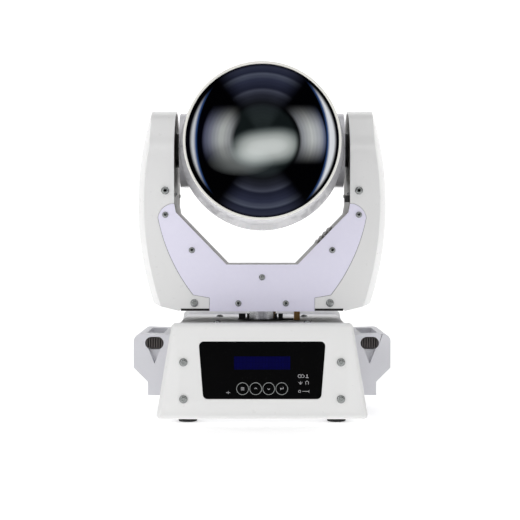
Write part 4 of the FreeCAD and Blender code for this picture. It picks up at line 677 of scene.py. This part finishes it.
def screw_head(radius, height, place, outward):
    """A button head with a hexagon socket; outward is the unit vector it faces."""
    mesh = bmesh.new()
    bmesh.ops.create_circle(mesh, cap_ends=False, segments=SCREW_STEPS, radius=radius)
    loop = list(mesh.edges)
    for wide, rise in SCREW_PROFILE:
        grown = bmesh.ops.extrude_edge_only(mesh, edges=loop)["geom"]
        verts = new_verts(grown)
        loop = [item for item in grown if isinstance(item, bmesh.types.BMEdge)
                and all(vert in verts for vert in item.verts)]
        for vert in verts:
            vert.co.xy = vert.co.xy.normalized() * (radius * wide)
            vert.co.z = height * rise
    socket = radius * SOCKET_SHARE
    hexagon = bmesh.ops.create_circle(mesh, cap_ends=False, segments=6, radius=socket)["verts"]
    for vert in hexagon:
        vert.co.z = height
    rim = list({edge for vert in hexagon for edge in vert.link_edges})
    bmesh.ops.bridge_loops(mesh, edges=loop + rim)
    floor = new_verts(bmesh.ops.extrude_edge_only(mesh, edges=rim)["geom"])
    for vert in floor:
        vert.co.z = height * SOCKET_FLOOR
    bmesh.ops.contextual_create(mesh, geom=floor)
    bmesh.ops.recalc_face_normals(mesh, faces=mesh.faces)
    turn = Vector((0, 0, 1)).rotation_difference(Vector(outward)).to_matrix().to_4x4()
    bmesh.ops.transform(mesh, matrix=Matrix.Translation(place) @ turn, verts=mesh.verts)
    return mesh


def solid_places(node):
    """Lowest and highest corner of each separate solid of a frame node."""
    mesh = welded(node)
    left = set(mesh.verts)
    boxes = []
    while left:
        island = {left.pop()}
        search = set(island)
        while search:
            for edge in (vert := search.pop()).link_edges:
                other = edge.other_vert(vert)
                if other not in island:
                    island.add(other)
                    search.add(other)
        left -= island
        places = [vert.co for vert in island]
        low = Vector([min(place[axis] for place in places) for axis in range(3)])
        high = Vector([max(place[axis] for place in places) for axis in range(3)])
        boxes.append((low, high))
    mesh.free()
    return sorted(boxes, key=lambda box: tuple(round(value, 5) for value in box[0]))


def build_screws(node, height):
    """Stand detailed heads in for a frame node's screws."""
    heads = []
    for low, high in solid_places(node):
        size = high - low
        axis = max(range(3), key=lambda index: size[index])
        centre = (low + high) / 2
        radius = max(size[index] for index in range(3) if index != axis) / 2
        outward = Vector((0, 0, 0))
        outward[axis] = 1 if centre[axis] > 0 else -1
        seat = centre.copy()
        seat[axis] = (high if outward[axis] > 0 else low)[axis] - outward[axis] * height
        heads.append(screw_head(radius, height, seat, outward))
    whole = gathered(heads)
    mark_sharp(whole, SCREW_SHARP)
    piece = add_piece(f"{node}_heads", whole, bright_screw, body_of(node))
    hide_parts(node)


# ---- operators ----

SLOT_FINISHES = {
    "white_cover": gloss_cover, "white_metal": powder_sheet, "handle_grey": grip_moulding,
    "yoke_plate": lavender_plate, "frame_grey": yoke_skin, "black_gloss": black_acrylic,
    "lcd": display_glass, "board": circuit_board, "button": black_acrylic, "rubber": foot_rubber,
    "steel": machined_steel, "black_metal": black_part, "black_plastic": black_moulding,
    "blue_plastic": blue_moulding, "aluminium": aluminium_part, "brass": dull_brass,
    "lens_glass": inner_glass, "dichroic": filter_glass, "mirror": silver_mirror, "lamp_glass": clear_quartz,
}


class LIGHT_OT_frame_finishes(bpy.types.Operator):
    """Give every frame node that stays visible its own finish"""

    bl_idname = "moving_head.frame_finishes"
    bl_label = "Frame Finishes"

    def execute(self, context):
        for node, thing in frame["nodes"].items():
            thing.data.materials.clear()
            thing.data.materials.append(material_for(SLOT_FINISHES[slot_of(node)]))
        return {"FINISHED"}


# node, finish, rounding as a share of the casing edge, segments
SOFT_CASINGS = (
    ("left_arm_cover", gloss_cover, 1.3, 4),
    ("right_arm_cover", gloss_cover, 1.3, 4),
    ("base_front_cover", gloss_cover, 0.4, 3),
    ("base_rear_cover", gloss_cover, 0.4, 3),
    ("head_upper_shell", head_cover_painted_shade, 0.5, 3),
    ("head_lower_shell", head_cover_painted_shade, 0.5, 3),
    ("yoke_front_plate", lavender_plate, 0.3, 2),
    ("yoke_rear_plate", lavender_plate, 0.3, 2),
    ("left_handle", grip_moulding, 1, 3),
    ("right_handle", grip_moulding, 1, 3),
    ("base_feet", foot_rubber, 1, 3),
    ("front_bezel", cream_ring, 0.6, 3),
    ("safety_eye", machined_steel, 0.4, 3),
)


class LIGHT_OT_casings(bpy.types.Operator):
    """Round the edges of the covers, plates, shells and grips"""

    bl_idname = "moving_head.casings"
    bl_label = "Casings"

    def execute(self, context):
        for node, maker, share, segments in SOFT_CASINGS:
            soften(node, maker, settings().casing_round * share, segments)
        return {"FINISHED"}


class LIGHT_OT_screws(bpy.types.Operator):
    """Put socket-headed screws on the base and the yoke"""

    bl_idname = "moving_head.screws"
    bl_label = "Screws"

    def execute(self, context):
        build_screws("base_screws", HEAD_HEIGHT)
        build_screws("yoke_cover_screws", HEAD_HEIGHT)
        build_screws("yoke_plate_screws", PLATE_HEAD_HEIGHT)
        return {"FINISHED"}


LENS_BULGE = 3.2 * MM
LENS_CHAMFER = 0.4 * MM
LENS_RINGS = 24
LENS_STEPS = 128


class LIGHT_OT_lens(bpy.types.Operator):
    """Make the coated front lens, with reflections painted into its colour, and its dark rim"""

    bl_idname = "moving_head.lens"
    bl_label = "Lens"

    def execute(self, context):
        front, back = LENS_LOW.y, LENS_HIGH.y
        shares = [index / LENS_RINGS for index in range(LENS_RINGS)]
        profile = [(LENS_RADIUS * share, front + LENS_BULGE * share ** 2) for share in shares]
        edge = front + LENS_BULGE
        profile += [
            (LENS_RADIUS - LENS_CHAMFER, edge), (LENS_RADIUS, edge + LENS_CHAMFER),
            (LENS_RADIUS, back - LENS_CHAMFER), (LENS_RADIUS - LENS_CHAMFER, back), (0, back)]
        mesh = turn_profile(profile, LENS_STEPS, Vector((0, 0, HEAD_Z)))
        mark_sharp(mesh)
        piece = add_piece("front_lens_glass", mesh, lens_with_painted_reflections, "head")
        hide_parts("front_lens")
        return {"FINISHED"}


# printed lines and marks, in metres; x and z are across and up the panel
PRINT_DEPTH = 0.08 * MM
PRINT_LINE = 0.4 * MM
SYMBOL_LINE = 0.45 * MM
SYMBOL_REACH = 1.9 * MM
PRINT_STEPS = 24


def bar(low, high, y, turn=0.0, pivot=None):
    """A thin printed bar between two (x, z) corners, turned about a pivot, facing -Y."""
    mesh = block((low[0], y, low[1]), (high[0], y + PRINT_DEPTH, high[1]))
    if pivot:
        centre = Vector((pivot[0], y, pivot[1]))
        matrix = Matrix.Translation(centre) @ Matrix.Rotation(turn, 4, "Y") @ Matrix.Translation(-centre)
        bmesh.ops.transform(mesh, matrix=matrix, verts=mesh.verts)
    return mesh


def dash(left, right, z, line, y, **turned):
    """A level printed line."""
    return bar((left, z - line / 2), (right, z + line / 2), y, **turned)


def stroke(x, low, high, line, y, **turned):
    """An upright printed line."""
    return bar((x - line / 2, low), (x + line / 2, high), y, **turned)


def printed_ring(x, z, radius, y):
    """A thin printed circle."""
    inner, back = radius - PRINT_LINE, y + PRINT_DEPTH
    profile = [(inner, back), (inner, y), (radius, y), (radius, back), (inner, back)]
    return turn_profile(profile, PRINT_STEPS, Vector((x, 0, z)))


def key_symbol(kind, x, z, y):
    """Menu bars, an up arrow, a down arrow or an enter mark on a key's cap."""
    line, reach = SYMBOL_LINE, SYMBOL_REACH
    if kind == "menu":
        return gathered(dash(x - reach, x + reach, z + step * 1.3 * MM, line, y) for step in (-1, 0, 1))
    if kind == "enter":
        barbs = [dash(x - reach, x - reach + 1.5 * MM, z, line, y, turn=side * math.radians(38),
                      pivot=(x - reach, z)) for side in (-1, 1)]
        hook = stroke(x + reach - line / 2, z, z + 1.8 * MM, line, y)
        return gathered([dash(x - reach, x + reach, z, line, y), hook] + barbs)
    way, lean = (1, 50) if kind == "up" else (-1, 130)
    tip = z + way * 1.1 * MM
    return gathered(stroke(x, tip - reach, tip, line, y, turn=side * math.radians(lean), pivot=(x, tip))
                    for side in (-1, 1))


KEYS = ("menu", "up", "down", "enter")
KEY_FACE = ((0, 0.25), (3.6, 0.12), (5.1, 0), (5.7, 0.15), (6, 0.6))  # radius, depth behind the key's front, mm
KEY_RADIUS = 6 * MM
KEY_FLANGE = 1 * MM
SYMBOL_SUNK = 0.12 * MM
RING_GAP = 0.35 * MM
RING_PROUD = 0.5 * MM
RING_SUNK = 0.6 * MM
RING_LIP = 0.2 * MM
PANEL_EDGE = 0.3 * MM
MARK_PROUD = 0.04 * MM


class LIGHT_OT_control_panel(bpy.types.Operator):
    """Dress the control panel: keys with rings and symbols, and generic marks"""

    bl_idname = "moving_head.control_panel"
    bl_label = "Control Panel"

    def execute(self, context):
        soften("display_panel", black_acrylic, PANEL_EDGE, 2)
        for kind in KEYS:
            self.add_key(kind, f"{kind}_button")
        self.add_marks(PANEL_FACE - MARK_PROUD)
        return {"FINISHED"}

    def add_key(self, kind, node):
        """A dished cap with its symbol, and the bright ring round it on the panel."""
        low, high = span(node)
        centre = (low + high) / 2
        place = Vector((centre.x, 0, centre.z))
        flange = high.x - centre.x
        profile = [(radius * MM, low.y + depth * MM) for radius, depth in KEY_FACE]
        step = high.y - KEY_FLANGE
        profile += [(KEY_RADIUS, step), (flange, step), (flange, high.y), (0, high.y)]
        mesh = turn_profile(profile, settings().round_steps, place)
        mark_sharp(mesh, KEY_SHARP)
        cap = add_piece(f"{kind}_key", mesh, black_acrylic, node)
        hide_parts(node)
        symbol = key_symbol(kind, centre.x, centre.z, low.y + SYMBOL_SUNK)
        add_piece(f"{kind}_key_symbol", symbol, symbol_print, node, smooth=False)
        inner = KEY_RADIUS + RING_GAP
        outer = inner + settings().key_ring
        front, back = PANEL_FACE - RING_PROUD, PANEL_FACE + RING_SUNK
        profile = [
            (inner, back), (inner, front + RING_LIP), (inner + RING_LIP, front), (outer - RING_LIP, front),
            (outer, front + RING_LIP), (outer, back), (inner, back)]
        ring = turn_profile(profile, settings().round_steps, place)
        mark_sharp(ring)
        add_piece(f"{kind}_key_ring", ring, bright_screw, "base")

    def add_marks(self, y):
        """Small generic marks: two circles, a post on a foot, a fan of lines, a house shape, a key and a cross."""
        left, right = 43 * MM, 51.5 * MM
        top, centre, low = 50 * MM, 42.5 * MM, 32.5 * MM
        foot = (left + 1 * MM, centre - 2 * MM)
        ridge = (right, centre + 2.2 * MM)
        marks = [
            printed_ring(left, top, 2.0 * MM, y),
            printed_ring(left + 3.4 * MM, top, 2.0 * MM, y),
            stroke(right, top - 0.6 * MM, top + 2 * MM, 0.8 * MM, y),
            dash(right - 1.6 * MM, right + 1.6 * MM, top - 1.7 * MM, 0.6 * MM, y),
        ]
        for step in (-1, 0, 1):
            marks.append(stroke(foot[0], foot[1], centre + 1.6 * MM, PRINT_LINE, y,
                                turn=step * math.radians(38), pivot=foot))
        for side in (-1, 1):
            marks.append(stroke(right, centre - 0.4 * MM, ridge[1], PRINT_LINE, y,
                                turn=side * math.radians(50), pivot=ridge))
            marks.append(stroke(right + side * 1.5 * MM, centre - 2 * MM, centre + 0.6 * MM, PRINT_LINE, y))
        marks += [
            printed_ring(left, low, 1.5 * MM, y),
            dash(left + 3.2 * MM, right + 2.4 * MM, low, PRINT_LINE, y),
            stroke(right + 2.2 * MM, low - 1.6 * MM, low + 1.6 * MM, PRINT_LINE, y),
            dash(-41.4 * MM, -36.6 * MM, 31 * MM, PRINT_LINE, y),
            stroke(-39 * MM, 29.4 * MM, 32.6 * MM, PRINT_LINE, y),
        ]
        add_piece("panel_marks", gathered(marks), symbol_print, "base", smooth=False)


GRIP_RIBS = 7
GRIP_RIB_START = 120.5 * MM
GRIP_RIB_STEP = 2.9 * MM
GRIP_RIB_HALF = 0.6 * MM
GRIP_RIB_HEIGHTS = (76.2 * MM, 88.8 * MM)
GRIP_RIB_DEPTHS = (2.5 * MM, 12 * MM)  # behind the grip's end face
GRIP_RIB_BEVEL = 0.25 * MM
GRIP_PLATE_ACROSS = (119 * MM, 139 * MM)
GRIP_PLATE_HEIGHTS = (75.5 * MM, 89.5 * MM)
GRIP_PLATE_DEPTHS = (12.8 * MM, 13.6 * MM)


class LIGHT_OT_grips(bpy.types.Operator):
    """Fill the end recesses of the side grips with ribs"""

    bl_idname = "moving_head.grips"
    bl_label = "Grip Ribs"

    def execute(self, context):
        for word, side in (("left", -1), ("right", 1)):
            low, high = span(f"{word}_handle")
            for end, tag in ((-1, "front"), (1, "rear")):
                face = low.y if end < 0 else high.y
                near, far = sorted(face - end * depth for depth in GRIP_RIB_DEPTHS)
                ribs = []
                for step in range(GRIP_RIBS):
                    x = side * (GRIP_RIB_START + GRIP_RIB_STEP * step)
                    ribs.append(block((x - GRIP_RIB_HALF, near, GRIP_RIB_HEIGHTS[0]),
                                      (x + GRIP_RIB_HALF, far, GRIP_RIB_HEIGHTS[1]), GRIP_RIB_BEVEL))
                near, far = sorted(face - end * depth for depth in GRIP_PLATE_DEPTHS)
                left, right = sorted(side * x for x in GRIP_PLATE_ACROSS)
                ribs.append(block((left, near, GRIP_PLATE_HEIGHTS[0]), (right, far, GRIP_PLATE_HEIGHTS[1])))
                # the ribs and the plate behind them are darkened to paint the shade in the recess
                add_piece(f"{word}_{tag}_ribs", gathered(ribs), grip_recess_painted_shade, "base")
        return {"FINISHED"}


LOUVRES = 4
LOUVRE_CORNER = Vector((43 * MM, 0, 176.5 * MM))
LOUVRE_ELBOW = Vector((104 * MM, 0, 239.5 * MM))
LOUVRE_START = 38 * MM
LOUVRE_STEP = 7 * MM
LOUVRE_PROUD = 0.9 * MM
LOUVRE_HALF = Vector((2.4 * MM, 46 * MM, 0.6 * MM))
LOUVRE_BEVEL = 0.4 * MM
LOUVRE_LEAN = math.radians(14)
SOLE_ACROSS = (64 * MM, 97.5 * MM)
SOLE_DEPTHS = (57.6 * MM, 59.4 * MM)
SOLE_RISE = (0.6 * MM, 3.3 * MM)
SOLE_BEVEL = 0.3 * MM
SKIN_SCREW_X = 105.9 * MM
SKIN_SCREW_YS = (-30 * MM, 48 * MM)
SKIN_SCREW_Z = 262 * MM
SKIN_SCREW_SIZE = (2.6 * MM, 1.4 * MM)


class LIGHT_OT_yoke_trim(bpy.types.Operator):
    """Add the vent louvres, the dark sole strips and the screws of the yoke's inner skin"""

    bl_idname = "moving_head.yoke_trim"
    bl_label = "Yoke Trim"

    def execute(self, context):
        run = (LOUVRE_ELBOW - LOUVRE_CORNER).normalized()
        normal = Vector((-run.z, 0, run.x))
        lean = Matrix.Rotation(-math.atan2(run.z, run.x) - LOUVRE_LEAN, 4, "Y")
        louvres = []
        for step in range(LOUVRES):
            centre = LOUVRE_CORNER + run * (LOUVRE_START + LOUVRE_STEP * step) + normal * LOUVRE_PROUD
            slat = block(-LOUVRE_HALF, LOUVRE_HALF, LOUVRE_BEVEL)
            bmesh.ops.transform(slat, matrix=Matrix.Translation(centre) @ lean, verts=slat.verts)
            louvres.append(slat)
        add_piece("diagonal_louvres", gathered(louvres), yoke_skin, "yoke")
        sole = span("yoke_front_plate")[0].z
        strips = []
        screws = []
        for side in (-1, 1):
            for end in (-1, 1):
                left, right = sorted(side * x for x in SOLE_ACROSS)
                near, far = sorted(end * y for y in SOLE_DEPTHS)
                strips.append(block((left, near, sole + SOLE_RISE[0]), (right, far, sole + SOLE_RISE[1]),
                                    SOLE_BEVEL))
            for y in SKIN_SCREW_YS:
                place = Vector((side * SKIN_SCREW_X, y, SKIN_SCREW_Z))
                screws.append(screw_head(*SKIN_SCREW_SIZE, place, Vector((-side, 0, 0))))
        add_piece("sole_strips", gathered(strips), foot_rubber, "yoke")
        heads = gathered(screws)
        mark_sharp(heads, SCREW_SHARP)
        add_piece("skin_screws", heads, bright_screw, "yoke")
        return {"FINISHED"}


SOCKET_EDGE = 0.5 * MM
PINS = 3
PIN_CIRCLE = 4.5 * MM
PIN_DEPTH = 16 * MM
PIN_PROFILE = ((0, 0), (1.2, 0), (1.2, 8), (0.7, 8.6), (0, 8.6))  # radius, rise from the socket's floor, mm
PIN_STEPS = 16
CAP_RIDGES = 18
RIDGE_PROFILE = ((0, -4.4), (0.5, -4.4), (0.5, -0.8), (0, -0.6))  # radius, distance from the cap's face, mm
RIDGE_STEPS = 8
GRILLE_EDGE = 0.3 * MM


def ring_of_pieces(count, reach, start, centre, floor, profile, steps):
    """The same turned piece set round a circle that faces Y."""
    for step in range(count):
        turn = FULL_TURN * step / count + start
        spot = Vector((centre.x + reach * math.cos(turn), 0, centre.z + reach * math.sin(turn)))
        yield turn_profile([(radius * MM, floor + rise * MM) for radius, rise in profile], steps, spot)


class LIGHT_OT_rear_fittings(bpy.types.Operator):
    """Detail the rear sockets, the fuse cap and the guard"""

    bl_idname = "moving_head.rear_fittings"
    bl_label = "Rear Fittings"

    def execute(self, context):
        for node, maker in (("power_sockets", blue_moulding), ("data_sockets", black_moulding)):
            soften(node, maker, SOCKET_EDGE)
            pins = []
            for low, high in solid_places(node):
                pins += ring_of_pieces(PINS, PIN_CIRCLE, math.pi / 2, (low + high) / 2, high.y - PIN_DEPTH,
                                       PIN_PROFILE, PIN_STEPS)
            add_piece(f"{node}_pins", gathered(pins), dull_brass, "base")
        low, high = span("fuse_holder")
        ridges = ring_of_pieces(CAP_RIDGES, (high.x - low.x) / 2, 0, (low + high) / 2, high.y, RIDGE_PROFILE,
                                RIDGE_STEPS)
        add_piece("fuse_cap_grip", gathered(ridges), black_moulding, "base")
        soften("rear_grille", black_part, GRILLE_EDGE, 2)
        return {"FINISHED"}


SWEEP_HALF_WIDTH = 5.0
SWEEP_FRONT = -4.0
SWEEP_BACK = 3.2
SWEEP_BEND = 0.8
SWEEP_TOP = 4.5
SWEEP_STEPS = 12
SWEEP_GLOW = 0.42
LIGHT_MIDDLE = (0, 0, 0.22)
# name, place, point it faces, width and height, share of the studio light's power
SOFTBOXES = (
    ("left_softbox", (-1.45, -1.6, 0.9), LIGHT_MIDDLE, (0.8, 1.4), 1.2),
    ("right_softbox", (1.5, -1.4, 0.8), LIGHT_MIDDLE, (0.8, 1.4), 0.5),
    ("top_softbox", (0, -0.3, 2.2), (0, 0, 0), (2.4, 2.0), 1.7),
    ("front_softbox", (0, -2.8, 1.7), (0, 0, 0.1), (1.6, 0.7), 0.7),
    ("backdrop_left", (-2.2, 1.0, 1.6), (-0.4, 3.2, 0.6), (1.4, 1.8), 2.0),
    ("backdrop_right", (2.2, 1.0, 1.6), (0.4, 3.2, 0.6), (1.4, 1.8), 2.0),
)
CAMERA_PLACE = (-0.0025, -1.65, 0.2085)
CAMERA_TILT = math.radians(90 - 0.955)
CAMERA_SENSOR = 36  # mm
CAMERA_LENS = 91.4  # mm


class LIGHT_OT_stage(bpy.types.Operator):
    """Set the floor, the backdrop, the softboxes and the camera"""

    bl_idname = "moving_head.stage"
    bl_label = "Stage"

    def execute(self, context):
        self.add_sweep()
        for softbox in SOFTBOXES:
            self.add_softbox(*softbox)
        self.add_room_light()
        self.add_camera()
        return {"FINISHED"}

    def add_sweep(self):
        """One pale sheet: flat floor that curves up into a backdrop."""
        points = [(SWEEP_FRONT, 0.0), (SWEEP_BACK - SWEEP_BEND, 0.0)]
        for step in range(1, SWEEP_STEPS + 1):
            turn = step / SWEEP_STEPS * math.pi / 2
            points.append((SWEEP_BACK - SWEEP_BEND + SWEEP_BEND * math.sin(turn),
                           SWEEP_BEND - SWEEP_BEND * math.cos(turn)))
        points.append((SWEEP_BACK, SWEEP_TOP))
        mesh = bmesh.new()
        verts = [mesh.verts.new((-SWEEP_HALF_WIDTH, y, z + FLOOR_Z)) for y, z in points]
        edges = [mesh.edges.new(pair) for pair in zip(verts, verts[1:])]
        grown = bmesh.ops.extrude_edge_only(mesh, edges=edges)["geom"]
        bmesh.ops.translate(mesh, vec=(2 * SWEEP_HALF_WIDTH, 0, 0), verts=new_verts(grown))
        for face in mesh.faces:
            face.smooth = True
        data = bpy.data.meshes.new("sweep")
        mesh.to_mesh(data)
        mesh.free()
        paper = Finish("paper_sweep", (0.93, 0.93, 0.93), 0.9)
        paper.set(emission_color=(1, 1, 1, 1), emission_strength=SWEEP_GLOW)
        data.materials.append(paper.grain(40, 0.02).material)
        sweep = bpy.data.objects.new("sweep", data)
        bpy.context.scene.collection.objects.link(sweep)

    def add_softbox(self, name, place, target, size, share):
        """A rectangular lamp that faces a point."""
        data = bpy.data.lights.new(name, "AREA")
        data.shape = "RECTANGLE"
        data.size, data.size_y = size
        data.energy = settings().lamp_power * share
        lamp = bpy.data.objects.new(name, data)
        lamp.location = place
        lamp.rotation_euler = (Vector(target) - Vector(place)).to_track_quat("-Z", "Y").to_euler()
        bpy.context.scene.collection.objects.link(lamp)

    def add_room_light(self):
        """Even white light from all round, shown without a film curve so that white stays white."""
        world = bpy.data.worlds.new("studio")
        world.use_nodes = True
        background = world.node_tree.nodes["Background"]
        background.inputs["Color"].default_value = (1, 1, 1, 1)
        background.inputs["Strength"].default_value = settings().world_light
        bpy.context.scene.world = world
        bpy.context.scene.view_settings.view_transform = "Standard"

    def add_camera(self):
        data = bpy.data.cameras.new("camera")
        data.sensor_width = CAMERA_SENSOR
        data.lens = CAMERA_LENS
        camera = bpy.data.objects.new("camera", data)
        camera.location = CAMERA_PLACE
        camera.rotation_euler = (CAMERA_TILT, 0, 0)
        bpy.context.scene.collection.objects.link(camera)
        bpy.context.scene.camera = camera


OPERATORS = (
    LIGHT_OT_frame_finishes, LIGHT_OT_casings, LIGHT_OT_screws, LIGHT_OT_lens, LIGHT_OT_control_panel,
    LIGHT_OT_grips, LIGHT_OT_yoke_trim, LIGHT_OT_rear_fittings, LIGHT_OT_stage,
)


class LIGHT_PT_panel(bpy.types.Panel):
    """Sidebar panel with the light's settings and build steps"""

    bl_label = "Moving Head"
    bl_idname = "LIGHT_PT_panel"
    bl_space_type = "VIEW_3D"
    bl_region_type = "UI"
    bl_category = "Moving Head"

    def draw(self, context):
        for name in LightSettings.__annotations__:
            self.layout.prop(context.scene.moving_head, name)
        for operator in OPERATORS:
            self.layout.operator(operator.bl_idname)


CLASSES = (LightSettings,) + OPERATORS + (LIGHT_PT_panel,)


def register():
    for item in CLASSES:
        bpy.utils.register_class(item)
    bpy.types.Scene.moving_head = PointerProperty(type=LightSettings)


def unregister():
    del bpy.types.Scene.moving_head
    for item in reversed(CLASSES):
        bpy.utils.unregister_class(item)


def main():
    """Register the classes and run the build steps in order."""
    register()
    for operator in OPERATORS:
        group, name = operator.bl_idname.split(".")
        getattr(getattr(bpy.ops, group), name)()


if __name__ == "__main__":
    main()
